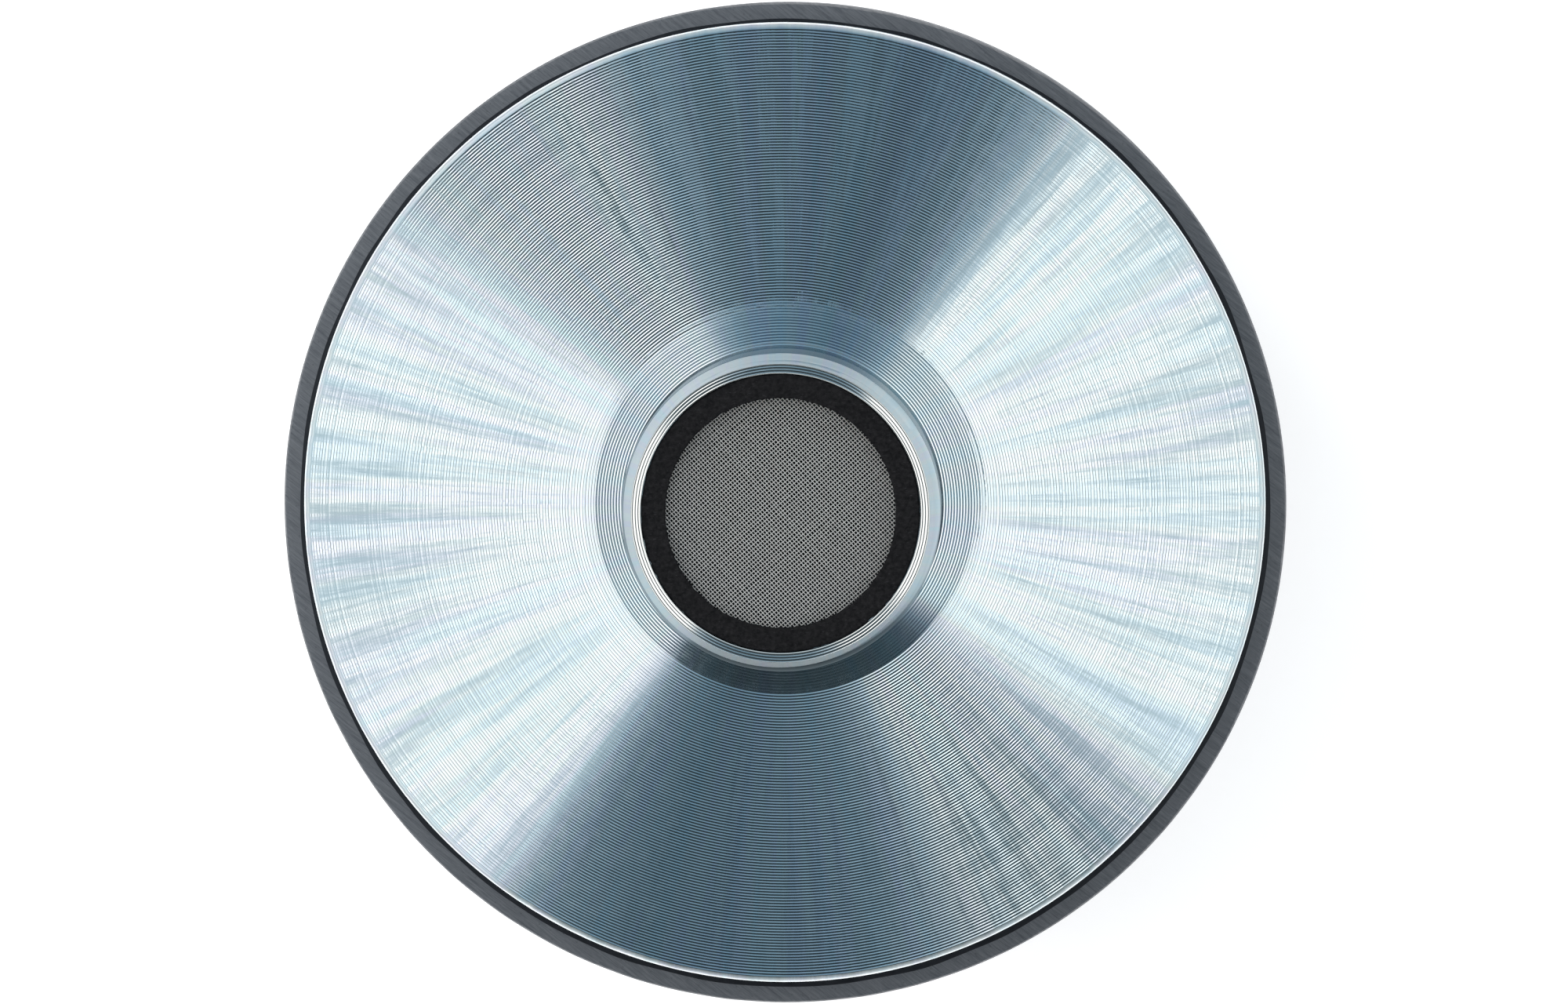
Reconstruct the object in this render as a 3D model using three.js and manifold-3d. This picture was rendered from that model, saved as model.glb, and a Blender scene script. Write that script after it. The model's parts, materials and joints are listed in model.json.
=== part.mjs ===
// Screw-on compression driver: the motor that feeds sound into a horn with a 1 inch throat.
// The sound axis is Z. The driver stands on its rear cover, with its threaded neck pointing up (+Z)
// and its two push terminals on the -Y side. The origin is the centre of the flat rear face.
import * as THREE from "three";
import { mergeVertices } from "three/addons/utils/BufferGeometryUtils.js";
import Module from "manifold-3d";

const wasm = await Module();
wasm.setup();

// ---------------------------------------------------------------- driving dimensions, in mm

// The stack along the sound axis, from the rear face forwards.
const COVER_DEPTH = 23;
const COVER_GASKET_THICK = 1;
const RING_THICK = 4;
const REAR_PLATE_THICK = 6;
const MAGNET_THICK = 18;
const FRONT_PLATE_THICK = 8;
const NECK_LENGTH = 12.5;

// The motor.
const MAGNET_R = 56;
const MAGNET_EDGE = 0.8; // chamfer ground on the magnet's edges
const MAGNET_HOLE_R = 30;
const PLATE_R = 53.2;
const PLATE_EDGE = 0.7; // chamfer on the front plate's outer edge
const POLE_R = 21.6;
const GAP_R = 23.4; // the rear plate's hole, the outer wall of the magnetic gap
const BEAD_R = 54.2; // adhesive squeezed out at the foot of each plate
const BEAD_HEIGHT = 0.5;

// The neck: 1-3/8"-18 UNEF outside, 1 inch throat inside.
const NECK_R = 17.45;
const NECK_LIP_R = 16.27;
const NECK_CHAMFER = 1.6;
const SEAT_R = 15.25; // recess that holds the screen and its gasket
const SEAT_DEPTH = 1.6;
const THROAT_R = 12.7;
const THROAT_START_R = 9.9;
const SCREEN_R = 15.05;
const SCREEN_THICK = 0.3;
const GASKET_R = 15.15;
const GASKET_HOLE_R = 12.55;
const GASKET_THICK = 1.0;

// The diaphragm: a 1-3/4 inch voice coil under a shallow dome that bulges to the rear.
const DOME_R = 22.5;
const DOME_RISE = 9;
const SHELL = 0.4;
const FORMER_R = 22;
const FORMER_WALL = 0.3;
const FORMER_LENGTH = 7;
const COIL_THICK = 0.55;
const COIL_LENGTH = 4.2;
const PLUG_GAP = 0.69; // air space between dome and phase plug

// The rear cover and its fixings.
const FLANGE_R = 46.5;
const FLANGE_REAR = 15;
const BODY_R = 38.5;
const RING_R = 45.5; // outside of the diaphragm ring and the cover's gasket
const RING_HOLE_R = 28.6;
const LEDGE_R = 31.4; // wall of the ring's ledge, round the surround
const CHAMBER_R = 36;
const COVER_WALL = 2.5;
const FIXING_R = 42.5; // radius of the circle of screws and locating pins
const SCREW_R = 2;
const SCREW_HEAD_R = 3.5;
const SCREW_HEAD = 4;
const PIN_R = 1.5;

// The push terminals, measured outwards from the sound axis.
const TERMINAL_X = 8.5;
const TERMINAL_Z = 7.75;
const BOSS_FACE = 40;
const BOSS_INSIDE = 33.5;
const BOSS_HALF_WIDTH = 15;
const CAP_R = 4.25;
const CAP_STROKE = 3;
const POST_R = 1.5;

// The two contacts on the diaphragm ring, near the terminals.
const CONTACT_R = 33.6;
const CONTACT_ANGLE = THREE.MathUtils.degToRad(20); // each side of -Y

const FIT = 0.2; // radial clearance of a fastener in its hole
const GAP = 0.3; // between pieces that rest on each other in a turned group
const FINE = 32; // facets round a large turned piece
const SMALL = 12; // facets round a terminal or screw

// ---------------------------------------------------------------- heights worked out from the stack

const COVER_FRONT = COVER_DEPTH;
const RING_REAR = COVER_FRONT + COVER_GASKET_THICK;
const REAR_PLATE = RING_REAR + RING_THICK;
const MAGNET_REAR = REAR_PLATE + REAR_PLATE_THICK;
const MAGNET_FRONT = MAGNET_REAR + MAGNET_THICK;
const FACE = MAGNET_FRONT + FRONT_PLATE_THICK;
const NECK_END = FACE + NECK_LENGTH;
const SEAT = NECK_END - SEAT_DEPTH;

const RIM_FRONT = RING_REAR + 2.2; // front face of the dome's rim
const RIM_REAR = RIM_FRONT - SHELL;
const LEDGE = RIM_FRONT + 0.4; // the ring's ledge, where the surround is glued
const DOME_SPHERE_R = (FORMER_R ** 2 + DOME_RISE ** 2) / (2 * DOME_RISE);
const DOME_CENTRE = RIM_FRONT - DOME_RISE + DOME_SPHERE_R;
const SURROUND_THICK = 0.3;
const CONE_REAR_R = 18.5;
const CONE_REAR = REAR_PLATE - 3.3;
const CONE_FRONT = MAGNET_REAR + 10; // where the pole's cone becomes the throat

// ---------------------------------------------------------------- materials

const material = (color, metalness, roughness) =>
  new THREE.MeshStandardMaterial({ color, metalness, roughness });
const ZINC = material(0xb4c8d0, 1, 0.28);
const FERRITE = material(0x63666b, 0, 0.8);
const ADHESIVE = material(0x15171c, 0, 0.4);
const STAINLESS = material(0xc9c7c2, 1, 0.35);
const BLACK_FIBRE = material(0x17171b, 0, 0.95);
const BLACK_PLASTIC = material(0x1b1c1e, 0, 0.5);
const GREY_PLASTIC = material(0x5a5d60, 0, 0.5);
const TITANIUM = material(0xa7a5a0, 1, 0.35);
const POLYIMIDE = material(0xb06a1c, 0, 0.4);
const COPPER = material(0xc4703a, 1, 0.35);
const BRASS = material(0xc9a24b, 1, 0.35);
const NICKEL = material(0xc4c2ba, 1, 0.25);
const BLACK_STEEL = material(0x202124, 1, 0.45);
const FOAM = material(0x2b2b2e, 0, 1);
const RED_PLASTIC = material(0xb01218, 0, 0.35);
const RED_PVC = material(0xa81c1c, 0, 0.5);
const BLACK_PVC = material(0x161616, 0, 0.5);

const SIDES = [
  { name: "red", side: 1, cap: RED_PLASTIC, wire: RED_PVC },
  { name: "black", side: -1, cap: BLACK_PLASTIC, wire: BLACK_PVC },
];

// ---------------------------------------------------------------- shapes

const driver = new THREE.Group();

function add(name, geometry, finish, parent = driver) {
  const mesh = new THREE.Mesh(geometry, finish);
  mesh.name = name;
  parent.add(mesh);
  return mesh;
}

// A turned piece: [radius, height] points round its section, revolved about Z.
function turned(points, facets = FINE) {
  const outline = points.map(([r, z]) => new THREE.Vector2(r, z));
  if (THREE.ShapeUtils.area(outline) < 0) outline.reverse();
  const meetsAxis = points.some(([r]) => r === 0);
  if (!meetsAxis) outline.push(outline[0].clone());
  else while (outline[0].x !== 0 || outline.at(-1).x !== 0) outline.push(outline.shift());
  return new THREE.LatheGeometry(outline, facets).rotateX(Math.PI / 2);
}

// A plain ring from height low to high, or a disc where inner is 0.
const ring = (inner, outer, low, high, facets = FINE) =>
  turned([[inner, low], [outer, low], [outer, high], [inner, high]], facets);

// A box given by its lowest and highest corners.
function block(low, high) {
  const [x, y, z] = high.map((h, i) => h - low[i]);
  const middle = high.map((h, i) => (h + low[i]) / 2);
  return new THREE.BoxGeometry(x, y, z).translate(...middle);
}

function solid(geometry) {
  const bare = geometry.index ? geometry.toNonIndexed() : geometry.clone();
  bare.deleteAttribute("normal");
  bare.deleteAttribute("uv");
  const merged = mergeVertices(bare, 1e-4);
  const mesh = new wasm.Mesh({
    numProp: 3,
    vertProperties: merged.attributes.position.array,
    triVerts: new Uint32Array(merged.index.array),
  });
  return new wasm.Manifold(mesh);
}

function geometryOf(manifold) {
  const mesh = manifold.getMesh();
  return new THREE.BufferGeometry()
    .setAttribute("position", new THREE.BufferAttribute(mesh.vertProperties, 3))
    .setIndex(new THREE.BufferAttribute(mesh.triVerts, 1));
}

const join = (...shapes) => geometryOf(shapes.map(solid).reduce((a, b) => a.add(b)));
const cut = (shape, ...tools) => geometryOf(tools.map(solid).reduce((a, b) => a.subtract(b), solid(shape)));

// Copies of a shape made on the sound axis, set at these angles round it on a circle.
const around = (make, radius, angles) =>
  angles.map((a) => make().translate(radius * Math.cos(a), radius * Math.sin(a), 0));

// A section drawn in radius and height, given a width and turned to an angle round the axis.
function strip(points, width, angle) {
  const shape = new THREE.Shape(points.map(([r, z]) => new THREE.Vector2(r, z)));
  return new THREE.ExtrudeGeometry(shape, { depth: width, bevelEnabled: false, steps: 1 })
    .translate(0, 0, -width / 2)
    .rotateX(Math.PI / 2)
    .rotateZ(angle);
}

// A round bar along a curve.
function bar(curve, radius, sides, steps) {
  const corners = Array.from({ length: sides }, (_, i) => {
    const a = (2 * Math.PI * i) / sides;
    return new THREE.Vector2(radius * Math.cos(a), radius * Math.sin(a));
  });
  return new THREE.ExtrudeGeometry(new THREE.Shape(corners), { steps, extrudePath: curve });
}

const hexagon = (acrossFlats, low, high) =>
  turned([[0, low], [acrossFlats / Math.sqrt(3), low], [acrossFlats / Math.sqrt(3), high], [0, high]], 6);

const QUARTERS = [1, 3, 5, 7].map((n) => (n * Math.PI) / 4);
const ENDS = [0, Math.PI];

// ---------------------------------------------------------------- the motor

// Front plate, pole piece and neck are one forging, bored through for the throat.
function yoke() {
  return turned([
    [CONE_REAR_R, CONE_REAR],
    [POLE_R, REAR_PLATE - 0.4],
    [POLE_R, MAGNET_FRONT],
    [PLATE_R - 0.5, MAGNET_FRONT],
    [PLATE_R, MAGNET_FRONT + 0.5],
    [PLATE_R, FACE - PLATE_EDGE],
    [PLATE_R - PLATE_EDGE, FACE],
    [NECK_R, FACE],
    [NECK_R, NECK_END - NECK_CHAMFER],
    [NECK_LIP_R, NECK_END],
    [SEAT_R, NECK_END],
    [SEAT_R, SEAT],
    [THROAT_R, SEAT],
    [THROAT_START_R, CONE_FRONT],
  ]);
}

function rearPlate() {
  const plate = ring(GAP_R, PLATE_R, REAR_PLATE, MAGNET_REAR);
  const tapped = () => ring(0, SCREW_R + FIT, REAR_PLATE - 1, REAR_PLATE + 5.5, SMALL);
  const pinHole = () => ring(0, PIN_R + FIT, REAR_PLATE - 1, REAR_PLATE + 3.2, SMALL);
  return cut(plate, ...around(tapped, FIXING_R, QUARTERS), ...around(pinHole, FIXING_R, ENDS));
}

function ringMagnet() {
  return turned([
    [MAGNET_HOLE_R, MAGNET_REAR],
    [MAGNET_R - MAGNET_EDGE, MAGNET_REAR],
    [MAGNET_R, MAGNET_REAR + MAGNET_EDGE],
    [MAGNET_R, MAGNET_FRONT - MAGNET_EDGE],
    [MAGNET_R - MAGNET_EDGE, MAGNET_FRONT],
    [MAGNET_HOLE_R, MAGNET_FRONT],
  ]);
}

function motor() {
  add("yoke", yoke(), ZINC);
  add("ring_magnet", ringMagnet(), FERRITE);
  add("rear_plate", rearPlate(), ZINC);
  const inner = PLATE_R + GAP;
  add("front_glue_bead", ring(inner, BEAD_R, MAGNET_FRONT, MAGNET_FRONT + BEAD_HEIGHT), ADHESIVE);
  add("rear_glue_bead", ring(inner, BEAD_R, MAGNET_REAR - BEAD_HEIGHT, MAGNET_REAR), ADHESIVE);
  const screenTop = SEAT + SCREEN_THICK;
  add("throat_screen", ring(0, SCREEN_R, SEAT, screenTop), STAINLESS);
  add("screen_gasket", ring(GASKET_HOLE_R, GASKET_R, screenTop, screenTop + GASKET_THICK), BLACK_FIBRE);
}

// ---------------------------------------------------------------- the phase plug

// Three rings with two annular slots between them, joined by three thin vanes.
function phasePlug() {
  const surfaceR = DOME_SPHERE_R - SHELL - PLUG_GAP;
  const surface = (r) => [r, DOME_CENTRE - Math.sqrt(surfaceR ** 2 - r ** 2)];
  const slope = (CONE_REAR_R - THROAT_START_R) / (CONE_FRONT - CONE_REAR);
  const tip = CONE_FRONT - 2.5;
  const outerRing = turned([
    [CONE_REAR_R - 0.1, CONE_REAR],
    [THROAT_START_R + 2.5 * slope - 0.1, tip],
    [THROAT_START_R + 2.5 * slope - 0.5, tip],
    surface(14.8),
    surface(16.4),
    surface(CONE_REAR_R - 0.3),
  ]);
  const middleRing = turned([
    surface(7.4),
    surface(9.4),
    surface(11.5),
    surface(13.6),
    [7.3, CONE_FRONT - 4],
    [6.7, CONE_FRONT - 4],
  ]);
  const core = turned([
    [0, surface(0)[1]],
    surface(3.2),
    surface(6.2),
    [4.4, CONE_FRONT - 11],
    [2.3, CONE_FRONT - 4],
    [0, CONE_FRONT + 1],
  ]);
  const vane = [[3, CONE_FRONT - 13], [13.6, CONE_FRONT - 12], [11.8, CONE_FRONT - 6], [3, CONE_FRONT - 6.5]];
  const vanes = [0, 1, 2].map((n) => strip(vane, 1.4, (n * 2 * Math.PI) / 3 + Math.PI / 2));
  return join(outerRing, middleRing, core, ...vanes);
}

// ---------------------------------------------------------------- the diaphragm

// One side of the dome's shell, from its middle out to the height where its flat rim starts.
function arc(radius, rim) {
  const edge = Math.sqrt(radius ** 2 - (DOME_CENTRE - rim) ** 2);
  return [0, 0.2, 0.4, 0.6, 0.8, 1].map((s) => {
    const r = s * edge;
    return [r, DOME_CENTRE - Math.sqrt(radius ** 2 - r ** 2)];
  });
}

function dome() {
  const rear = arc(DOME_SPHERE_R, RIM_REAR);
  const front = arc(DOME_SPHERE_R - SHELL, RIM_FRONT).reverse();
  return turned([...rear, [DOME_R, RIM_REAR], [DOME_R, RIM_FRONT], ...front]);
}

// A thin cone from the rear of the dome's rim to the ring's ledge, with a flat land at each end.
function surround() {
  const line = [
    [DOME_R - 0.7, RIM_REAR],
    [DOME_R + 0.9, RIM_REAR],
    [RING_HOLE_R + 0.6, LEDGE],
    [LEDGE_R - 0.2, LEDGE],
  ];
  const rear = line.map(([r, z]) => [r, z - SURROUND_THICK]).reverse();
  return turned([...line, ...rear]);
}

function diaphragmRing() {
  const section = [
    [RING_HOLE_R, LEDGE],
    [LEDGE_R, LEDGE],
    [LEDGE_R, RING_REAR],
    [RING_R, RING_REAR],
    [RING_R, REAR_PLATE],
    [RING_HOLE_R, REAR_PLATE],
  ];
  const hole = (radius) => () => ring(0, radius, RING_REAR - 1, REAR_PLATE + 1, SMALL);
  const contacts = SIDES.map(({ side }) => -Math.PI / 2 + side * CONTACT_ANGLE);
  return cut(
    turned(section),
    ...around(hole(SCREW_R + FIT), FIXING_R, QUARTERS),
    ...around(hole(PIN_R + FIT), FIXING_R, ENDS),
    ...around(hole(1.3), CONTACT_R, contacts),
  );
}

// The flat leads that carry the coil's current across the surround to the ring's contacts.
function leadStrip(side) {
  const land = RIM_REAR - SURROUND_THICK;
  const line = [
    [DOME_R - 0.6, land],
    [DOME_R, land],
    [DOME_R + 1.2, land - 0.6],
    [DOME_R + 5, land - 0.9],
    [DOME_R + 7.5, land - 1],
    [DOME_R + 8.6, RING_REAR - 0.05],
    [CONTACT_R - 1.3, RING_REAR - 0.05],
  ];
  const rear = line.map(([r, z]) => [r, z - 0.25]).reverse();
  return strip([...line, ...rear], 2.2, -Math.PI / 2 + side * CONTACT_ANGLE);
}

function contactEyelet(side) {
  const angle = -Math.PI / 2 + side * CONTACT_ANGLE;
  const eyelet = turned([
    [0, RING_REAR - 1],
    [1.2, RING_REAR - 1],
    [1.2, RING_REAR - 0.1],
    [1.1, RING_REAR],
    [1.1, REAR_PLATE - 0.4],
    [0, REAR_PLATE - 0.4],
  ], SMALL);
  return eyelet.translate(CONTACT_R * Math.cos(angle), CONTACT_R * Math.sin(angle), 0);
}

function diaphragm() {
  add("dome", dome(), TITANIUM);
  const coilInner = FORMER_R + FORMER_WALL;
  const formerEnd = RIM_FRONT + FORMER_LENGTH;
  add("coil_former", ring(FORMER_R, coilInner, RIM_FRONT, formerEnd), POLYIMIDE);
  const coilEnd = formerEnd - 0.2;
  add("voice_coil", ring(coilInner, coilInner + COIL_THICK, coilEnd - COIL_LENGTH, coilEnd), COPPER);
  add("surround", surround(), POLYIMIDE);
  add("surround_clamp_ring", ring(RING_HOLE_R + 0.8, LEDGE_R - 0.2, LEDGE - 1.3, LEDGE - SURROUND_THICK), NICKEL);
  add("diaphragm_ring", diaphragmRing(), GREY_PLASTIC);
  for (const { name, side } of SIDES) {
    add(`lead_strip_${name}`, leadStrip(side), COPPER);
    add(`contact_eyelet_${name}`, contactEyelet(side), BRASS);
  }
}

// ---------------------------------------------------------------- the rear cover

function rearCover() {
  const cup = turned([
    [0, 0],
    [35.5, 0],
    [BODY_R, 3],
    [BODY_R, FLANGE_REAR],
    [FLANGE_R, FLANGE_REAR],
    [FLANGE_R, COVER_FRONT],
    [CHAMBER_R, COVER_FRONT],
    [CHAMBER_R, COVER_WALL + 2],
    [CHAMBER_R - 2, COVER_WALL],
    [0, COVER_WALL],
  ]);
  const w = BOSS_HALF_WIDTH;
  const boss = block([-w, -BOSS_FACE, 0.8], [w, -BOSS_INSIDE, FLANGE_REAR + 0.5]);
  const screwHole = () => ring(0, SCREW_R + FIT, FLANGE_REAR - 1, COVER_FRONT + 1, SMALL);
  const outwards = (tool, x, z) => tool.rotateX(Math.PI / 2).translate(x, 0, z);
  const pockets = SIDES.flatMap(({ side }) => [
    outwards(ring(0, 5.7, 38.2, BOSS_FACE + 1, SMALL), side * TERMINAL_X, TERMINAL_Z),
    outwards(ring(0, POST_R + FIT, BOSS_INSIDE - 1, 39, SMALL), side * TERMINAL_X, TERMINAL_Z),
  ]);
  const tapped = BLOCK_SCREW_Z.map((z) => outwards(ring(0, 1.2, 36, BOSS_FACE + 1, 12), 0, z));
  return cut(join(cup, boss), ...around(screwHole, FIXING_R, QUARTERS), ...pockets, ...tapped);
}

function coverGasket() {
  const gasket = ring(CHAMBER_R + 1, RING_R, COVER_FRONT, RING_REAR);
  const hole = () => ring(0, SCREW_R + 0.5, COVER_FRONT - 1, RING_REAR + 1, SMALL);
  return cut(gasket, ...around(hole, FIXING_R, QUARTERS));
}

// An M4 cap screw, head to the rear, drawn on the sound axis.
function coverScrew() {
  const head = FLANGE_REAR - SCREW_HEAD;
  const body = turned([
    [0, head],
    [SCREW_HEAD_R - 0.4, head],
    [SCREW_HEAD_R, head + 0.4],
    [SCREW_HEAD_R, FLANGE_REAR],
    [SCREW_R, FLANGE_REAR],
    [SCREW_R, REAR_PLATE + 4.4],
    [SCREW_R - 0.6, REAR_PLATE + 5],
    [0, REAR_PLATE + 5],
  ], SMALL);
  return cut(body, hexagon(3, head - 1, head + 2.2));
}

function cover() {
  add("rear_cover", rearCover(), BLACK_PLASTIC);
  add("cover_gasket", coverGasket(), FOAM);
  add("damping_pad", ring(0, 27, COVER_WALL, COVER_WALL + 5), FOAM);
  QUARTERS.forEach((angle, i) => {
    const screw = add(`cover_screw_${i + 1}`, coverScrew(), BLACK_STEEL);
    screw.position.set(FIXING_R * Math.cos(angle), FIXING_R * Math.sin(angle), 0);
  });
  ENDS.forEach((angle, i) => {
    const pin = ring(0, PIN_R, RING_REAR + 0.5, REAR_PLATE + 3, 16);
    add(`locating_pin_${i + 1}`, pin.translate(FIXING_R * Math.cos(angle), 0, 0), NICKEL);
  });
}

// ---------------------------------------------------------------- the push terminals

// Every piece below is drawn with its own +Z pointing outwards, and turned so that +Z becomes -Y.
const BLOCK_SCREW_Z = [TERMINAL_Z - 3.9, TERMINAL_Z + 3.9];
const BLOCK_FRONT = BOSS_FACE + 2.8;
const COLLAR_END = 45;
const WELL_FLOOR = 40.5;
const CAP_INNER = 44.3;
const CAP_OUTER = 53.5;
const SPRING_SEAT = 45.6; // the shoulder inside the cap
const POST_TIP = 48.5;
const WIRE_HOLE = 46.9; // the hole through the post

// The block that carries both terminals, with a well for each cap.
function terminalBlock() {
  const low = [-14.5, -6.4, BOSS_FACE];
  const plate = block(low, [14.5, 6.4, BLOCK_FRONT]);
  const centres = SIDES.map(({ side }) => side * TERMINAL_X);
  const collars = centres.map((x) => ring(0, 5.4, 38.5, COLLAR_END, SMALL).translate(x, 0, 0));
  const wells = centres.map((x) => ring(0, CAP_R + FIT, WELL_FLOOR, COLLAR_END + 1, SMALL).translate(x, 0, 0));
  const bores = centres.map((x) => ring(0, POST_R + FIT, 38, 42, SMALL).translate(x, 0, 0));
  const screwHoles = BLOCK_SCREW_Z.map((z) =>
    ring(0, 1.4, BOSS_FACE - 1, BLOCK_FRONT + 1, 12).translate(0, z - TERMINAL_Z, 0),
  );
  return cut(join(plate, ...collars), ...wells, ...bores, ...screwHoles);
}

// A cross hole along the piece's own X.
const crossHole = (radius, z) => ring(0, radius, -6, 6, 8).rotateY(Math.PI / 2).translate(0, 0, z);

function post() {
  const rod = turned([
    [0, BOSS_INSIDE - 3.9],
    [POST_R, BOSS_INSIDE - 3.9],
    [POST_R, POST_TIP - 0.4],
    [POST_R - 0.4, POST_TIP],
    [0, POST_TIP],
  ], SMALL);
  return cut(rod, crossHole(0.8, WIRE_HOLE));
}

// At rest the cap's hole stands one stroke outside the post's, and pressing lines them up.
function cap() {
  const body = turned([
    [POST_R + FIT, SPRING_SEAT],
    [3.1, SPRING_SEAT],
    [3.1, CAP_INNER],
    [CAP_R, CAP_INNER],
    [CAP_R, CAP_OUTER - 0.8],
    [CAP_R - 0.8, CAP_OUTER],
    [0, CAP_OUTER],
    [0, CAP_OUTER - 1.5],
    [POST_R + FIT, CAP_OUTER - 1.5],
  ], SMALL);
  return cut(body, crossHole(1.1, WIRE_HOLE + CAP_STROKE));
}

function spring() {
  const wire = 0.22;
  const low = WELL_FLOOR + wire + 0.05;
  const high = SPRING_SEAT - wire - 0.05;
  class Coil extends THREE.Curve {
    getPoint(t, target = new THREE.Vector3()) {
      const a = 4 * 2 * Math.PI * t;
      return target.set(2.35 * Math.cos(a), 2.35 * Math.sin(a), low + (high - low) * t);
    }
  }
  return bar(new Coil(), wire, 4, 32);
}

// A ring tag under the nut, with a tail that takes the wire.
function solderLug() {
  const low = BOSS_INSIDE - 0.3 - 0.6;
  const eye = ring(0, 2.9, low, low + 0.6, SMALL);
  const tail = block([-1.1, 1.5, low], [1.1, 6.2, low + 0.6]);
  return cut(join(eye, tail), ring(0, POST_R + 0.1, low - 1, low + 2, SMALL));
}

function nut() {
  const high = BOSS_INSIDE - 1.0;
  return cut(hexagon(5.5, high - 2.2, high), ring(0, POST_R + 0.1, high - 4, high + 1, SMALL));
}

// A short insulated wire from the lug's tail to the contact on the diaphragm ring.
function hookupWire(side) {
  const angle = -Math.PI / 2 + side * CONTACT_ANGLE;
  const lugX = side * TERMINAL_X;
  const lugY = -(BOSS_INSIDE - 0.9 - 0.85);
  const contact = [CONTACT_R * Math.cos(angle), CONTACT_R * Math.sin(angle)];
  const route = [
    [lugX, lugY, TERMINAL_Z + 5],
    [lugX, lugY + 0.3, TERMINAL_Z + 7.4],
    [lugX + side * 0.6, lugY + 2.1, TERMINAL_Z + 9.6],
    [lugX + side * 1.8, lugY + 2.8, TERMINAL_Z + 11.6],
    [contact[0] - side * 0.5, contact[1] + 1.2, RING_REAR - 4],
    [contact[0], contact[1], RING_REAR - 1.8],
  ];
  const curve = new THREE.CatmullRomCurve3(route.map((p) => new THREE.Vector3(...p)));
  return bar(curve, 0.75, 6, 14);
}

function blockScrew() {
  const body = turned([
    [0, BOSS_FACE - 3.4],
    [1.0, BOSS_FACE - 3],
    [1.0, BLOCK_FRONT + GAP],
    [2.0, BLOCK_FRONT + GAP],
    [2.0, BLOCK_FRONT + 1.2],
    [1.4, BLOCK_FRONT + 1.7],
    [0, BLOCK_FRONT + 1.7],
  ], SMALL);
  const slot = (x, y) => block([-x, -y, BLOCK_FRONT + 0.9], [x, y, BLOCK_FRONT + 2]);
  return cut(body, slot(1.1, 0.25), slot(0.25, 1.1));
}

function terminals() {
  const outward = new THREE.Group();
  outward.rotation.x = Math.PI / 2;
  outward.position.z = TERMINAL_Z;
  driver.add(outward);
  add("terminal_block", terminalBlock(), BLACK_PLASTIC, outward);
  BLOCK_SCREW_Z.forEach((z, i) => {
    const screw = add(`block_screw_${i + 1}`, blockScrew(), BLACK_STEEL, outward);
    screw.position.y = z - TERMINAL_Z;
  });
  for (const { name, side, cap: capFinish, wire } of SIDES) {
    const terminal = new THREE.Group();
    terminal.position.x = side * TERMINAL_X;
    outward.add(terminal);
    add(`terminal_post_${name}`, post(), NICKEL, terminal);
    add(`terminal_cap_${name}`, cap(), capFinish, terminal);
    add(`terminal_spring_${name}`, spring(), STAINLESS, terminal);
    add(`solder_lug_${name}`, solderLug(), BRASS, terminal);
    add(`post_nut_${name}`, nut(), BRASS, terminal);
    add(`hookup_wire_${name}`, hookupWire(side), wire);
  }
}

motor();
add("phase_plug", phasePlug(), BLACK_PLASTIC);
diaphragm();
cover();
terminals();

export default driver;
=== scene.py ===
import json
from math import acos, atan2, ceil, cos, floor, hypot, pi, radians, sin, sqrt, tan

import bmesh
import bpy
import numpy as np
from mathutils import Matrix, Vector


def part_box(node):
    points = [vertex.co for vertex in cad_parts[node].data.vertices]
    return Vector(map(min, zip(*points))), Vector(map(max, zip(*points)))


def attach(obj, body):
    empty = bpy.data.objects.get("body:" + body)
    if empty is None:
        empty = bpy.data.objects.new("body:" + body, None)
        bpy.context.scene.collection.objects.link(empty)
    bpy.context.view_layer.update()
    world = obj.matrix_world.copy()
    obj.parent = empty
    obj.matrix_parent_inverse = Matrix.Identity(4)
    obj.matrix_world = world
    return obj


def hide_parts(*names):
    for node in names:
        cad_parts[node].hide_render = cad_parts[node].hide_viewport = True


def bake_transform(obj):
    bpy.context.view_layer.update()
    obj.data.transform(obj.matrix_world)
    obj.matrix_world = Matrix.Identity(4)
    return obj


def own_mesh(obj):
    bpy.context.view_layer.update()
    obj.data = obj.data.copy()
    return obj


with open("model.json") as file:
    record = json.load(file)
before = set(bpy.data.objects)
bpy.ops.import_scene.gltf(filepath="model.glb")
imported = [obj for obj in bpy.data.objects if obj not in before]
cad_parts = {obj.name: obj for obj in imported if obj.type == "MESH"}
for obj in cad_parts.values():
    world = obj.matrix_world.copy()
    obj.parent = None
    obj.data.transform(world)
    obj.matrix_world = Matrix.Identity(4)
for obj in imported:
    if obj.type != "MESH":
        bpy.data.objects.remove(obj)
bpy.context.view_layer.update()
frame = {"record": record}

RECORD = frame["record"]
BODY_OF = {node: body for body, nodes in RECORD["behaviour"]["bodies"].items() for node in nodes}
MM = 0.001

# Everything below is worked out in millimetres and turned into metres as each mesh is made.


# ---------------------------------------------------------------- places taken from the frame

def span(node):
    """A CAD node's lowest and highest corners."""
    return [[v / MM for v in corner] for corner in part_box(node)]


def heights(node):
    low, high = span(node)
    return low[2], high[2]


def outer_radius(node):
    low, high = span(node)
    return (high[0] - low[0]) / 2


MOUNTS = {m["name"]: [v / MM for v in m["pos_m"]] for m in RECORD["mounts"]}
FACE = MOUNTS["horn_seat"][2]
POLE_REAR, NECK_END = heights("yoke")
MAGNET_REAR, MAGNET_FRONT = heights("ring_magnet")
RING_REAR, REAR_PLATE = heights("diaphragm_ring")
SEAT, SCREEN_TOP = heights("throat_screen")
PLATE_R = outer_radius("yoke")
MAGNET_R = outer_radius("ring_magnet")


# ---------------------------------------------------------------- camera, lights and floor

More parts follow.
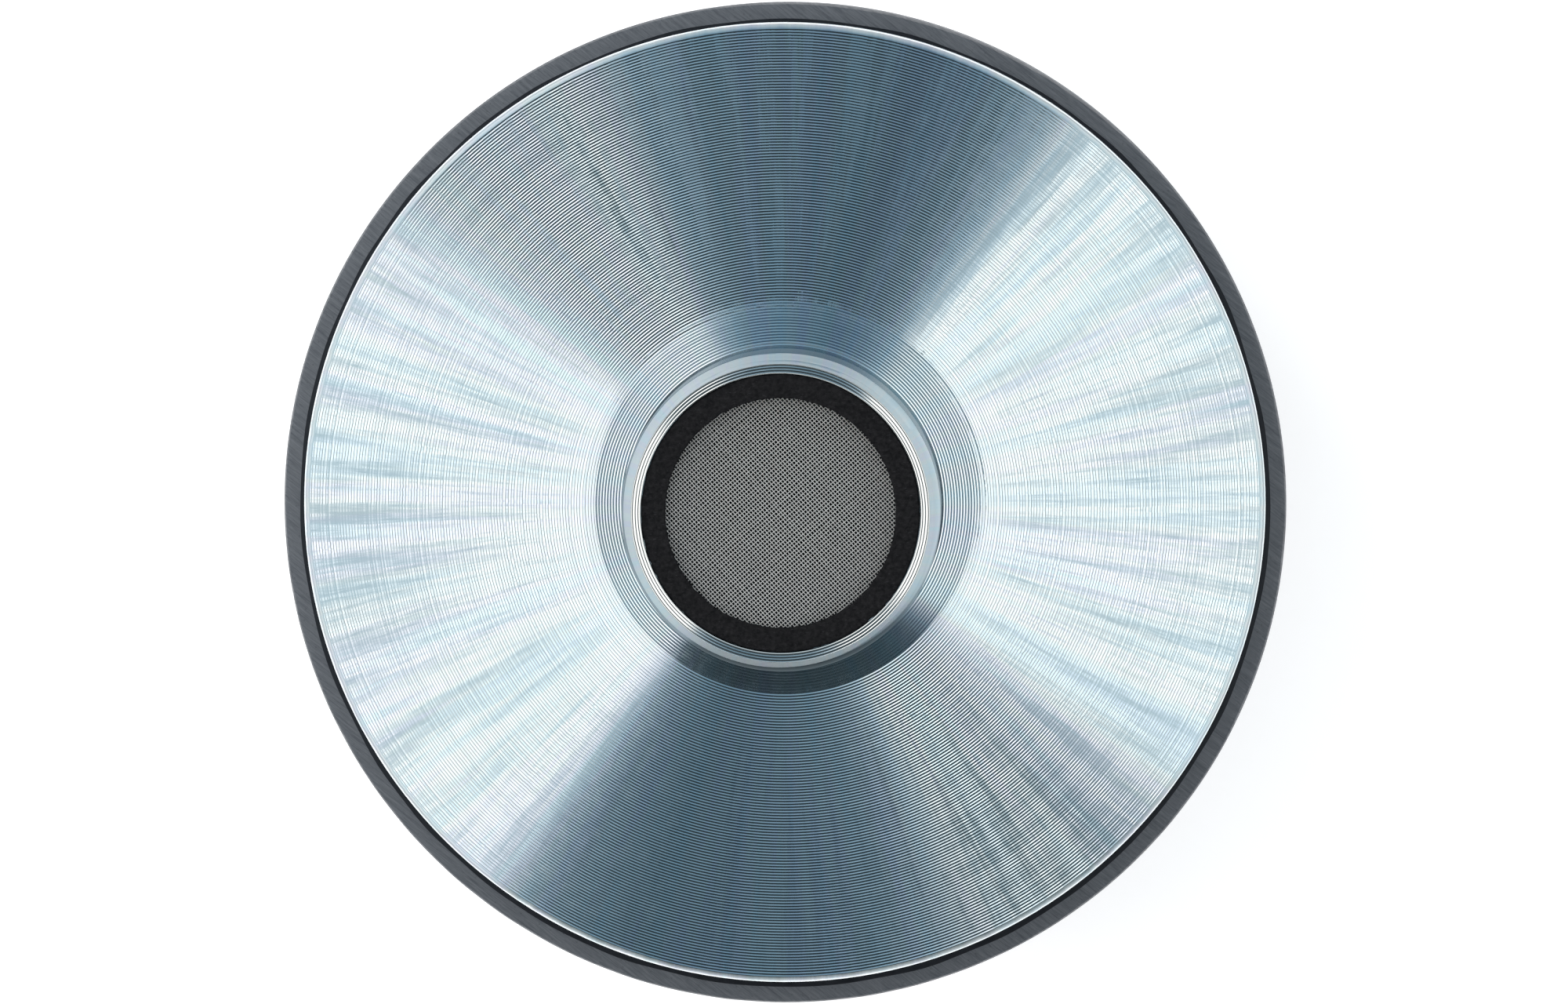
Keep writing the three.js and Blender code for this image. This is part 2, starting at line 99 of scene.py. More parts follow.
CAMERA_OFFSET = (24, 59)  # the lens stands a little to the right of the axis and above it
CAMERA_DISTANCE = 792
FRAME_WIDTH = 173.3  # how much the frame takes in across, at the front plate's face
AIM = (0.03, 0.33)  # the point of the plate's face in the middle of the frame
SENSOR = 36


def make_camera():
    target = Vector((*AIM, FACE)) * MM
    eye = Vector((*CAMERA_OFFSET, FACE + CAMERA_DISTANCE)) * MM
    data = bpy.data.cameras.new("camera")
    data.sensor_width = SENSOR
    data.lens = SENSOR * (eye - target).length / (FRAME_WIDTH * MM)
    data.clip_start = 0.01
    back = (eye - target).normalized()
    right = Vector((0, 1, 0)).cross(back).normalized()
    turn = Matrix((right, back.cross(right), back)).transposed().to_4x4()
    camera = bpy.data.objects.new("camera", data)
    camera.matrix_world = Matrix.Translation(eye) @ turn
    bpy.context.scene.collection.objects.link(camera)
    bpy.context.scene.camera = camera


# The studio is a dome of white screens with two gaps, a dark one below the picture and a grey one
# above it. Each stop is a direction in degrees, clockwise from the picture's right, and its light.
SCREENS = [
    (0, 1.04), (32, 1.04), (39, 0.38), (46, 0.12), (58, 0.075), (75, 0.052), (106, 0.045), (120, 0.075),
    (125, 0.22), (129, 1.10), (140, 1.12), (152, 1.08), (166, 0.98), (182, 1.02), (196, 1.08),
    (211, 1.0), (226, 1.10), (243, 1.04), (250, 0.50), (258, 0.34), (272, 0.30), (288, 0.25),
    (297, 0.33), (304, 0.50), (311, 0.95), (331, 1.06), (346, 1.06), (360, 1.04),
]
SCREEN_MIDDLE = 0.40  # the sine of the angle from the lens to where a screen is brightest
LENS_GAP = 0.06  # the sine of the angle round the lens where nothing lights the part
SKY_GAP = range(246, 310)  # the directions of the grey gap, which is bluer than the rest


def screen_colour(angle, level):
    """The darker gaps are bluer, and most of all the one above the picture."""
    blue = min(1, 1.6 * (1 - min(level, 1)) ** 2)
    green_lift, blue_lift = (1.14, 1.27) if angle in SKY_GAP else (1, 1)
    return level * (0.96 - 0.42 * blue), level * (0.985 - 0.16 * blue) * green_lift, level * blue_lift


def make_dome_light():
    """The studio's light, which metal mirrors, laid out round the lens's own reflection."""
    world = bpy.data.worlds.new("studio")
    bpy.context.scene.world = world
    world.use_nodes = True
    tree = Tree(world.node_tree)
    tree.clear()
    centre = -Vector((*CAMERA_OFFSET, 0)) / CAMERA_DISTANCE
    direction = tree.add("TexCoord").outputs["Generated"]
    flat = tree.vector("SUBTRACT", direction, centre)
    x, y, z = tree.split(flat)
    turn = tree.math("ARCTAN2", tree.times(y, -1), x)
    share = tree.math("FRACT", tree.math("DIVIDE", turn, 2 * pi))
    screens = tree.ramp(share, [(angle / 360, screen_colour(angle, level)) for angle, level in SCREENS])
    from_lens = tree.vector("LENGTH", tree.join(x, y, 0))
    off_band = tree.math("ABSOLUTE", tree.math("SUBTRACT", from_lens, SCREEN_MIDDLE))
    fade = tree.mix(tree.span(off_band, 0.0, 0.15), (1.3, 1.3, 1.3), (0.52, 0.61, 0.65))
    faded = tree.mix(screens, (1, 1, 1), fade)
    lamps = tree.mix(1.0, screens, faded, "MULTIPLY")
    open_sky = tree.span(from_lens, LENS_GAP, LENS_GAP + 0.06)
    overhead = tree.mix(open_sky, (0.05, 0.07, 0.085), lamps)
    low_down = tree.span(z, 0.05, 0.55)
    walls = tree.mix(0.5, (0.72, 0.78, 0.80), screens)
    wall = tree.mix(low_down, walls, overhead)
    rays = tree.add("LightPath")
    soft = tree.mix(rays.outputs["Is Diffuse Ray"], wall, (0.86, 0.875, 0.89))
    seen = tree.mix(rays.outputs["Is Camera Ray"], soft, (1, 1, 1))
    background = tree.add("Background", Color=seen, Strength=1.0)
    output = tree.add("OutputWorld")
    tree.link(background.outputs[0], output.inputs["Surface"])


def area_light(name, place, size, power, colour=(1, 1, 1)):
    """A square soft box, which metal doesn't mirror because the dome is there for that."""
    data = bpy.data.lights.new(name, "AREA")
    data.size = size * MM
    data.energy = power
    data.color = colour
    light = bpy.data.objects.new(name, data)
    place = Vector(place) * MM
    target = Vector((0, 0, MAGNET_FRONT)) * MM
    aim = (place - target).to_track_quat("Z", "Y").to_matrix().to_4x4()
    light.matrix_world = Matrix.Translation(place) @ aim
    light.visible_camera = False
    light.visible_glossy = False
    bpy.context.scene.collection.objects.link(light)


def make_lights():
    area_light("key", (-480, 240, 560), 700, 4.0)
    area_light("fill", (520, -60, 620), 720, 1.0, (0.95, 0.98, 1))
    view = bpy.context.scene.view_settings
    view.view_transform = "Standard"
    view.look = "None"


def make_floor():
    """White paper, lit a little from within near the part as a painted glow, so that it stays white
    where the part's shadow would fall; further off it turns grey.
    """
    extent = 4000
    steps = 8
    glow_to, grey_from = 140, 300
    side = np.linspace(-extent, extent, steps + 1)
    points = np.array([(x, y, 0) for y in side for x in side])
    rows = steps + 1
    faces = [
        (j * rows + i, j * rows + i + 1, (j + 1) * rows + i + 1, (j + 1) * rows + i)
        for j in range(steps)
        for i in range(steps)
    ]
    floor = mesh_object(points, faces, "floor")
    s = Shader("floor_paper_with_painted_glow", 0.9)
    grain = s.noise(0.02, 3)
    paper = s.mix(grain, (0.93, 0.932, 0.935), (0.95, 0.952, 0.955))
    far = s.span(s.vector("LENGTH", s.mm), glow_to, grey_from)
    s.set("Base Color", s.mix(far, paper, (0.50, 0.52, 0.54)))
    # painted light: near the part the floor glows, fading out further off, so the part's shadow doesn't
    # show on it
    s.set("Emission Color", (1, 1, 1))
    s.set("Emission Strength", s.span(far, 0.0, 1.0, 0.27, 0.0))
    floor.data.materials.append(s.material)


# ---------------------------------------------------------------- shader nodes

class Tree:
    """A node tree with short ways to add the nodes used here."""

    def __init__(self, tree):
        self.tree = tree

    def clear(self):
        self.tree.nodes.clear()

    def link(self, source, target):
        self.tree.links.new(source, target)

    def feed(self, socket, value):
        if isinstance(value, bpy.types.NodeSocket):
            self.link(value, socket)
        elif socket.type == "RGBA":
            socket.default_value = (*value, 1)
        else:
            socket.default_value = value

    def add(self, kind, settings=None, **inputs):
        node = self.tree.nodes.new("ShaderNode" + kind)
        for key, value in (settings or {}).items():
            setattr(node, key, value)
        for key, value in inputs.items():
            self.feed(node.inputs[key.replace("_", " ")], value)
        return node

    def math(self, operation, *values):
        node = self.add("Math", {"operation": operation})
        for socket, value in zip(node.inputs, values):
            self.feed(socket, value)
        return node.outputs[0]

    def times(self, a, b):
        return self.math("MULTIPLY", a, b)

    def vector(self, operation, a, b=None, scale=None):
        node = self.add("VectorMath", {"operation": operation})
        self.feed(node.inputs[0], a)
        if b is not None:
            self.feed(node.inputs[1], b)
        if scale is not None:
            self.feed(node.inputs["Scale"], scale)
        return node.outputs["Value" if operation == "LENGTH" else "Vector"]

    def split(self, vector):
        return self.add("SeparateXYZ", Vector=vector).outputs[:]

    def join(self, x, y, z):
        return self.add("CombineXYZ", X=x, Y=y, Z=z).outputs[0]

    def span(self, value, low, high, start=0.0, end=1.0):
        """value turned from the range low to high into start to end, and held there."""
        node = self.add("MapRange")
        for socket, given in zip(node.inputs, (value, low, high, start, end)):
            self.feed(socket, given)
        return node.outputs[0]

    def mix(self, factor, a, b, blend="MIX"):
        node = self.add("Mix", {"data_type": "RGBA", "blend_type": blend})
        for name, value in (("Factor", factor), ("A", a), ("B", b)):
            socket = next(s for s in node.inputs if s.enabled and s.name == name)
            self.feed(socket, value)
        return next(s for s in node.outputs if s.enabled)

    def ramp(self, factor, stops):
        node = self.add("ValToRGB", Fac=factor)
        elements = node.color_ramp.elements
        while len(elements) < len(stops):
            elements.new(1.0)
        for element, (place, colour) in zip(elements, stops):
            element.position = place
            element.color = (*colour, 1)
        return node.outputs["Color"]


class Shader(Tree):
    """A material whose textures are laid out in millimetres of the part's own frame."""

    def __init__(self, name, roughness, metallic=0.0, **fixed):
        self.material = bpy.data.materials.new(name)
        self.material.use_nodes = True
        super().__init__(self.material.node_tree)
        self.bsdf = self.tree.nodes["Principled BSDF"]
        self.set("Roughness", roughness)
        self.set("Metallic", metallic)
        for key, value in fixed.items():
            self.set(key.replace("_", " "), value)
        self.mm = self.vector("SCALE", self.add("TexCoord").outputs["Object"], scale=1 / MM)

    def set(self, name, value):
        self.feed(self.bsdf.inputs[name], value)

    def paint(self, mask, low, high, start, end, most=1.0):
        """Colours the surface from start to end as mask goes from low to high."""
        self.set("Base Color", self.mix(self.span(mask, low, high, 0.0, most), start, end))

    def polish(self, mask, low, high, start, end):
        self.set("Roughness", self.span(mask, low, high, start, end))

    def noise(self, per_mm, detail=3.0, stretch=None, at=None, roughness=0.55):
        """Noise from 0 to 1, about per_mm lumps to a millimetre. stretch scales each axis first."""
        place = at or self.mm
        if stretch:
            place = self.vector("MULTIPLY", place, stretch)
        node = self.add("TexNoise", Vector=place, Scale=per_mm, Detail=detail, Roughness=roughness)
        return node.outputs[0]

    def cells(self, per_mm, feature="F1"):
        node = self.add("TexVoronoi", {"feature": feature}, Vector=self.mm, Scale=per_mm)
        return node.outputs["Distance"]

    def bump(self, height, depth, strength=1.0, under=None):
        """Shades as if height stood up to depth millimetres high."""
        node = self.add("Bump", Strength=strength, Distance=depth * MM, Height=height)
        if under is not None:
            self.feed(node.inputs["Normal"], under)
        return node.outputs[0]


# ---------------------------------------------------------------- mesh building

def mesh_object(points, faces, name="piece"):
    mesh = bpy.data.meshes.new(name)
    mesh.from_pydata((np.asarray(points) * MM).tolist(), [], faces)
    mesh.update()
    obj = bpy.data.objects.new(name, mesh)
    bpy.context.scene.collection.objects.link(obj)
    return obj


def turned_outwards(points, faces):
    """The faces, all reversed if they enclose a negative volume."""
    corner = np.array([f[:3] for f in faces])
    other = np.array([(f[0], f[2], f[-1]) for f in faces])
    volume = 0.0
    for tri in (corner, other):
        a, b, c = points[tri[:, 0]], points[tri[:, 1]], points[tri[:, 2]]
        volume += np.einsum("ij,ij->i", a, np.cross(b, c)).sum()
    return faces if volume > 0 else [f[::-1] for f in faces]


def smooth(obj, angle=32):
    obj.data.shade_smooth()
    obj.data.set_sharp_from_angle(angle=radians(angle))
    return obj


def ring_angles(segments):
    return np.arange(segments) * 2 * pi / segments


def keep_crests(mesh, rows):
    """Marks the edges along these rows of points as sharp."""
    row_of = np.full(len(mesh.vertices), -1)
    for i, row in enumerate(rows):
        row_of[row] = i
    ends = np.empty(len(mesh.edges) * 2, int)
    mesh.edges.foreach_get("vertices", ends)
    a, b = row_of[ends[0::2]], row_of[ends[1::2]]
    attribute = mesh.attributes.get("sharp_edge") or mesh.attributes.new("sharp_edge", "BOOLEAN", "EDGE")
    sharp = np.empty(len(mesh.edges), bool)
    attribute.data.foreach_get("value", sharp)
    attribute.data.foreach_set("value", sharp | ((a == b) & (a >= 0)))


def revolve(profile, segments=128):
    """A turned mesh. The profile is (radius, height) points; either may be an array round the axis.

    A third item marks a crest that stays sharp. The profile closes on itself unless it starts and
    ends on the axis.
    """
    angles = ring_angles(segments)
    rows = []
    points = []
    count = 0
    for radius, height, *_ in profile:
        if np.isscalar(radius) and radius == 0:
            rows.append(np.full(segments, count))
            points.append([[0, 0, float(height)]])
            count += 1
            continue
        r = np.broadcast_to(radius, segments)
        z = np.broadcast_to(height, segments)
        rows.append(np.arange(count, count + segments))
        points.append(np.stack([r * np.cos(angles), r * np.sin(angles), z], 1))
        count += segments
    points = np.concatenate(points)
    on_axis = [row[0] == row[1] for row in rows]
    pairs = list(zip(range(len(rows)), range(1, len(rows))))
    if not (on_axis[0] and on_axis[-1]):
        pairs.append((len(rows) - 1, 0))
    faces = []
    for i, j in pairs:
        a, b = rows[i], rows[j]
        quads = np.stack([a, np.roll(a, -1), np.roll(b, -1), b], 1)
        if on_axis[i]:
            quads = quads[:, 1:]
        elif on_axis[j]:
            quads = quads[:, :3]
        faces += quads.tolist()
    obj = smooth(mesh_object(points, turned_outwards(points, faces)))
    crests = [row for row, point in zip(rows, profile) if len(point) > 2]
    if crests:
        keep_crests(obj.data, crests)
    return obj


def fillet(points, radii, steps=5):
    """A profile or outline with each corner rounded by its radius; radii may be one number."""
    count = len(points)
    radii = [radii] * count if np.isscalar(radii) else radii
    made = []
    for i, (point, radius) in enumerate(zip(points, radii)):
        here = np.array(point, float)
        if radius <= 0:
            made.append(tuple(here))
            continue
        before = np.array(points[i - 1], float) - here
        after = np.array(points[(i + 1) % count], float) - here
        before /= np.linalg.norm(before)
        after /= np.linalg.norm(after)
        half = acos(np.clip(before @ after, -1, 1)) / 2
        reach = radius / tan(half)
        centre = here + (before + after) / np.linalg.norm(before + after) * radius / sin(half)
        start = here + before * reach - centre
        end = here + after * reach - centre
        turn = pi - 2 * half
        for k in range(steps + 1):
            t = k / steps
            mixed = (sin((1 - t) * turn) * start + sin(t * turn) * end) / sin(turn)
            made.append(tuple(centre + mixed))
    return made


def prism(outline, low, high):
    """An outline in X and Y raised from one height to another."""
    count = len(outline)
    points = np.array([(x, y, z) for z in (low, high) for x, y in outline])
    faces = [(i, (i + 1) % count, count + (i + 1) % count, count + i) for i in range(count)]
    faces.append(tuple(reversed(range(count))))
    faces.append(tuple(range(count, 2 * count)))
    area = sum(ax * by - bx * ay for (ax, ay), (bx, by) in zip(outline, outline[1:] + outline[:1]))
    if area < 0:
        faces = [f[::-1] for f in faces]
    return smooth(mesh_object(points, faces))


def rectangle(width, height, corner=0.0, centre=(0, 0)):
    x, y = width / 2, height / 2
    corners = [(-x, -y), (x, -y), (x, y), (-x, y)]
    corners = [(a + centre[0], b + centre[1]) for a, b in corners]
    return fillet(corners, corner) if corner else corners


def cylinder(radius, low, high, segments=48):
    return revolve([(0, low), (radius, low), (radius, high), (0, high)], segments)


def tube_mesh(path, radius, sides=8, capped=True):
    """Points and faces of a round bar along a path. radius may be one number or one a point."""
    path = np.asarray(path, float)
    radii = np.broadcast_to(radius, len(path))
    tangents = np.gradient(path, axis=0)
    tangents /= np.linalg.norm(tangents, axis=1)[:, None]
    seed = np.array([0.0, 0.0, 1.0]) if abs(tangents[0][2]) < 0.9 else np.array([1.0, 0.0, 0.0])
    across = np.cross(tangents[0], seed)
    points = []
    angles = ring_angles(sides)
    for place, along, r in zip(path, tangents, radii):
        across = across - along * (across @ along)
        across /= np.linalg.norm(across)
        up = np.cross(along, across)
        ring = np.cos(angles)[:, None] * across + np.sin(angles)[:, None] * up
        points.append(place + r * ring)
    points = np.concatenate(points)
    faces = []
    for i in range(len(path) - 1):
        a = np.arange(sides) + i * sides
        b = a + sides
        faces += np.stack([a, np.roll(a, -1), np.roll(b, -1), b], 1).tolist()
    if capped:
        faces.append(list(range(sides))[::-1])
        faces.append(list(range(len(points) - sides, len(points))))
    return points, faces


def tube(path, radius, sides=16):
    points, faces = tube_mesh(path, radius, sides)
    return smooth(mesh_object(points, faces), 60)


def merged(parts, angle=60):
    """One object from several (points, faces) pairs."""
    points = []
    faces = []
    base = 0
    for part_points, part_faces in parts:
        points.append(part_points)
        faces += [[i + base for i in face] for face in part_faces]
        base += len(part_points)
    return smooth(mesh_object(np.concatenate(points), faces), angle)


def bake(obj):
    """Applies an object's modifiers to its mesh."""
    seen = obj.evaluated_get(bpy.context.evaluated_depsgraph_get())
    mesh = bpy.data.meshes.new_from_object(seen)
    obj.modifiers.clear()
    obj.data = mesh
    return obj


def welded(obj, reach):
    """Joins the points that are closer than reach."""
    bm = bmesh.new()
    bm.from_mesh(obj.data)
    bmesh.ops.remove_doubles(bm, verts=bm.verts, dist=reach * MM)
    bm.to_mesh(obj.data)
    bm.free()
    return obj


def joined(obj, other):
    """Both meshes as one object, with their sharp edges kept."""
    with bpy.context.temp_override(active_object=obj, selected_editable_objects=[obj, other]):
        bpy.ops.object.join()
    return obj


def combine(obj, tools, operation="DIFFERENCE"):
    """Cuts the tools out of an object, or joins them to it, and removes them."""
    for tool in tools:
        modifier = obj.modifiers.new(operation.lower(), "BOOLEAN")
        modifier.operation = operation
        modifier.solver = "EXACT"
        modifier.object = tool
    bake(obj)
    for tool in tools:
        bpy.data.objects.remove(tool)
    return obj


def soften(obj, width, steps=3, angle=35):
    """Rounds every edge sharper than the angle."""
    modifier = obj.modifiers.new("soften", "BEVEL")
    modifier.width = width * MM
    modifier.segments = steps
    modifier.limit_method = "ANGLE"
    modifier.angle_limit = radians(angle)
    modifier.use_clamp_overlap = True
    return smooth(bake(obj), 40)


def moved(obj, matrix):
    obj.data.transform(matrix)
    return obj


def shift(x=0.0, y=0.0, z=0.0):
    return Matrix.Translation(Vector((x, y, z)) * MM)


def stands_for(obj, node, shader, bends=None):
    """Gives a finished piece its finish, its place in the record and its body.

    bends is two places, in mm. When it is given, the piece's place is baked into its mesh and it hangs
    on no body; the two places themselves are not used.
    """
    obj.name = "fine_" + node
    obj.data.name = obj.name
    obj.data.materials.clear()
    obj.data.materials.append(shader.material)
    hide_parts(node)
    if bends:
        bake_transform(obj)
    else:
        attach(obj, BODY_OF[node])
    return obj


# ---------------------------------------------------------------- finishes

STREAK_TILT = 0.09  # how far, as a slope, the tool's chatter leans the grooves' sides
PASSIVATE_TINTS = [
    (0.0, (0.74, 0.87, 0.96)), (0.28, (0.77, 0.89, 0.91)), (0.48, (0.87, 0.90, 0.87)),
    (0.66, (0.85, 0.83, 0.92)), (0.84, (0.75, 0.88, 0.94)), (1.0, (0.74, 0.90, 0.91)),
]


def passivate_colour_and_highlight(s, radius, place, streaks):
    """A tint that turns from streak to streak, under fainter rings and clouds, paler along the streaks
    as a painted highlight.
    """
    hue = s.noise(7, 4, at=s.vector("ADD", place, (3.1, 1.7, 0)), roughness=0.7)
    tint = s.ramp(s.span(hue, 0.3, 0.7), PASSIVATE_TINTS)
    plain = s.mix(0.8, (0.78, 0.87, 0.91), tint)
    # painted highlight: along the brighter streaks the colour is whitened towards (0.90, 0.95, 0.97)
    light = s.mix(s.span(streaks, 0.32, 0.7, 0.0, 0.5), plain, (0.90, 0.95, 0.97))
    bands = s.noise(1.4, 4, at=s.join(radius, 0, 0), roughness=0.8)
    passes = s.mix(s.span(bands, 0.35, 0.65, 0.0, 0.12), light, (0.50, 0.60, 0.66))
    clouds = s.noise(0.045, 3)
    return s.mix(s.span(clouds, 0.4, 0.7, 0.0, 0.1), passes, (0.88, 0.90, 0.88))


def zinc():
    """Blue passivated zinc over turned steel: cool and bright, with streaks out from the axis.

    The tool's chatter leans the groove sides in and out by turns, so the screens' reflection breaks
    into rays, and the same streaks are painted into the colour as paler highlights. The thread is
    coloured darker as painted shade of its grooves, the end of the neck is bare steel, and inside
    the throat the metal is coloured black as painted shade of the deep throat.
    """
    s = Shader("zinc_blue_passivate_with_painted_light", 0.08)
    x, y, z = s.split(s.mm)
    radius = s.vector("LENGTH", s.join(x, y, 0))
    outward = s.vector("NORMALIZE", s.join(x, y, 0))
    cos, sin, _ = s.split(outward)
    place = s.join(cos, sin, s.times(radius, 0.0016))
    streaks = s.noise(17, 5, at=place, roughness=0.8)

    deep = s.span(z, SEAT - 0.3, SEAT - 0.1, 1.0, 0.0)
    reach = s.span(z, CONE_FRONT, CONE_FRONT + 1, CONE_REAR_R + 0.5, THROAT_R + 0.2)
    throat = s.times(deep, s.span(s.math("SUBTRACT", radius, reach), 0.0, 0.2, 1.0, 0.0))
    upright = s.math("ABSOLUTE", s.split(s.add("TexCoord").outputs["Normal"])[2])
    side = s.times(s.span(upright, 0.2, 0.5, 1.0, 0.0), s.span(radius, PLATE_R - 3.2, PLATE_R - 2.2))
    chamfer_z = NECK_END - NECK_CHAMFER
    neck = s.times(s.span(z, FACE + 0.05, FACE + 0.1), s.span(z, chamfer_z - 0.1, chamfer_z, 1.0, 0.0))
    thread = s.times(neck, s.span(radius, SEAT_R, SEAT_R + 0.2))
    high = s.span(z, NECK_END - 0.12, NECK_END - 0.06)
    end = s.times(high, s.span(radius, LIP_R, LIP_R + 0.06, 1.0, 0.0))
    chamfer = s.times(s.span(z, chamfer_z - 0.15, chamfer_z), s.span(radius, LIP_R - 0.1, LIP_R))

    coated = passivate_colour_and_highlight(s, radius, place, streaks)
    # painted shade: over the thread the colour is darkened towards (0.20, 0.26, 0.30), standing for the
    # shade in its grooves
    metal = s.mix(s.times(thread, 0.72), coated, (0.20, 0.26, 0.30))
    lines = s.noise(7, 4, at=s.join(0, 0, z), roughness=0.75)
    dull = s.mix(s.span(lines, 0.3, 0.7), (0.40, 0.46, 0.50), (0.60, 0.66, 0.69))
    bare = s.mix(end, s.mix(side, metal, dull), (0.96, 0.94, 0.90))
    # painted shade: inside the throat the colour is near black, standing for the shade of the deep hole
    s.set("Base Color", s.mix(throat, bare, (0.004, 0.004, 0.005)))
    s.set("Metallic", s.math("SUBTRACT", 1.0, throat))

    scuffs = s.span(s.noise(0.5, 5, roughness=0.7), 0.45, 0.75, 0.0, 0.05)
    rough = s.math("ADD", s.span(streaks, 0.3, 0.7, 0.06, 0.09), scuffs)
    worn = s.math("ADD", side, s.times(chamfer, 1.6))
    turned = s.times(worn, s.span(lines, 0.3, 0.7, 0.14, 0.24))
    s.set("Roughness", s.math("ADD", s.math("MAXIMUM", rough, s.times(throat, 0.8)), turned))
    tilt = s.span(streaks, 0.28, 0.72, -STREAK_TILT, STREAK_TILT)
    lean = s.times(tilt, s.span(radius, 21, 28))
    normal = s.add("NewGeometry").outputs["Normal"]
    leaned = s.vector("ADD", normal, s.vector("SCALE", outward, scale=lean))
    s.set("Normal", s.vector("NORMALIZE", leaned))
    return s


def ferrite():
    """Ground ceramic magnet: dull grey, crossed one way by the grinding wheel's marks."""
    s = Shader("ground_ferrite", 0.55)
    turn = s.add("VectorRotate", {"rotation_type": "Z_AXIS"}, Vector=s.mm, Angle=radians(38))
    turned = turn.outputs[0]
    marks = s.noise(1.0, 5, stretch=(0.16, 3.2, 1.0), at=turned, roughness=0.75)
    fine = s.noise(1.0, 3, stretch=(0.5, 11, 3.0), at=turned, roughness=0.8)
    body = s.mix(s.span(marks, 0.32, 0.68), (0.044, 0.050, 0.060), (0.097, 0.105, 0.117))
    body = s.mix(s.span(fine, 0.45, 0.75, 0.0, 0.5), body, (0.17, 0.178, 0.19))
    # painted shade: the pores are coloured near black, standing for the shade inside them
    pit_shade = s.span(s.cells(1.3), 0.0, 0.16, 0.6, 0.0)
    s.set("Base Color", s.mix(pit_shade, body, (0.022, 0.023, 0.027)))
    s.polish(marks, 0.3, 0.7, 0.62, 0.42)
    grain = s.bump(s.noise(7, 4), 0.012)
    s.set("Normal", s.bump(marks, 0.02, 1.0, grain))
    return s


def adhesive():
    s = Shader("dark_adhesive_and_gap_shade", 0.5, Specular_IOR_Level=0.25)
    lumps = s.noise(0.9, 4)
    # partly painted shade: the adhesive's near-black colour also stands for the shade in the gap between
    # plate and magnet
    s.set("Base Color", s.mix(lumps, (0.003, 0.004, 0.006), (0.014, 0.016, 0.021)))
    s.polish(lumps, 0.3, 0.7, 0.4, 0.62)
    s.set("Normal", s.bump(lumps, 0.05))
    return s


def drawn_wire(name, colour, rough=0.28, metallic=1.0):
    """Round drawn wire, with faint lengthways die marks."""
    s = Shader(name, rough, metallic)
    marks = s.noise(5, 3, stretch=(1, 1, 0.4))
    dull = tuple(c * 0.8 for c in colour)
    s.paint(marks, 0.35, 0.65, dull, colour)
    s.polish(marks, 0.3, 0.7, rough - 0.06, rough + 0.14)
    s.set("Normal", s.bump(s.noise(14, 3), 0.002))
    return s


def fibre():
    """Black vulcanised fibre, with a torn edge and short pale hairs."""
    s = Shader("black_fibre", 0.92, Specular_IOR_Level=0.2)
    lumps = s.noise(2.2, 5, roughness=0.7)
    hairs = s.noise(2.0, 3, stretch=(1, 5, 2), roughness=0.8)
    body = s.mix(s.span(lumps, 0.35, 0.7), (0.003, 0.003, 0.0035), (0.014, 0.0135, 0.0145))
    s.paint(hairs, 0.6, 0.75, body, (0.07, 0.07, 0.08), 0.5)
    s.set("Normal", s.bump(lumps, 0.12, 1.0, s.bump(hairs, 0.05)))
    return s


def moulded(name, colour, rough=0.5, texture=0.012, grain=6.0, **fixed):
    """Moulded plastic with a fine eroded texture and faint flow and scuff marks."""
    s = Shader(name, rough, **fixed)
    flow = s.noise(0.12, 4)
    bright = tuple(min(1, c * 1.5 + 0.001) for c in colour)
    s.paint(flow, 0.35, 0.7, colour, bright)
    scuffs = s.noise(0.9, 5, stretch=(1, 0.3, 1), roughness=0.75)
    s.polish(scuffs, 0.35, 0.75, rough - 0.05, rough + 0.16)
    pebbles = s.cells(grain, "SMOOTH_F1")
    s.set("Normal", s.bump(pebbles, texture, 0.9))
    return s


def foil(name, colour, rough, metallic):
    """Pressed foil or film, with faint ripples from forming."""
    s = Shader(name, rough, metallic)
    ripples = s.noise(0.35, 4)
    dull = tuple(c * 0.8 for c in colour)
    s.paint(ripples, 0.35, 0.65, dull, colour)
    s.polish(s.noise(1.5, 3), 0.3, 0.7, rough - 0.05, rough + 0.08)
    s.set("Normal", s.bump(ripples, 0.06, 0.6))
    return s


def plated(name, colour, rough=0.22):
    """Turned and plated brass or steel, with fine turning lines and a few dull spots."""
    s = Shader(name, rough, 1.0)
    spots = s.noise(1.6, 5, roughness=0.7)
    dull = tuple(c * 0.66 for c in colour)
    s.paint(spots, 0.5, 0.8, colour, dull, 0.7)
    s.polish(spots, 0.35, 0.75, rough - 0.05, rough + 0.2)
    s.set("Normal", s.bump(s.noise(9, 2, stretch=(1, 4, 1)), 0.004))
    return s


def black_oxide():
    s = Shader("black_oxide", 0.4, 1.0)
    bloom = s.noise(1.1, 5, roughness=0.7)
    s.paint(bloom, 0.4, 0.75, (0.030, 0.031, 0.034), (0.085, 0.080, 0.074))
    s.polish(bloom, 0.3, 0.7, 0.32, 0.52)
    s.set("Normal", s.bump(s.noise(8, 3), 0.004))
    return s


def foam():
    """Open celled foam, the hollow of each cell coloured darker as painted shade."""
    s = Shader("open_foam", 0.95)
    cells = s.cells(1.7, "DISTANCE_TO_EDGE")
    # painted shade: the recessed middle of each cell is coloured darker than its walls
    s.paint(cells, 0.02, 0.28, (0.045, 0.045, 0.05), (0.006, 0.006, 0.007))
    s.set("Normal", s.bump(cells, -0.35))
    return s


# ---------------------------------------------------------------- the motor

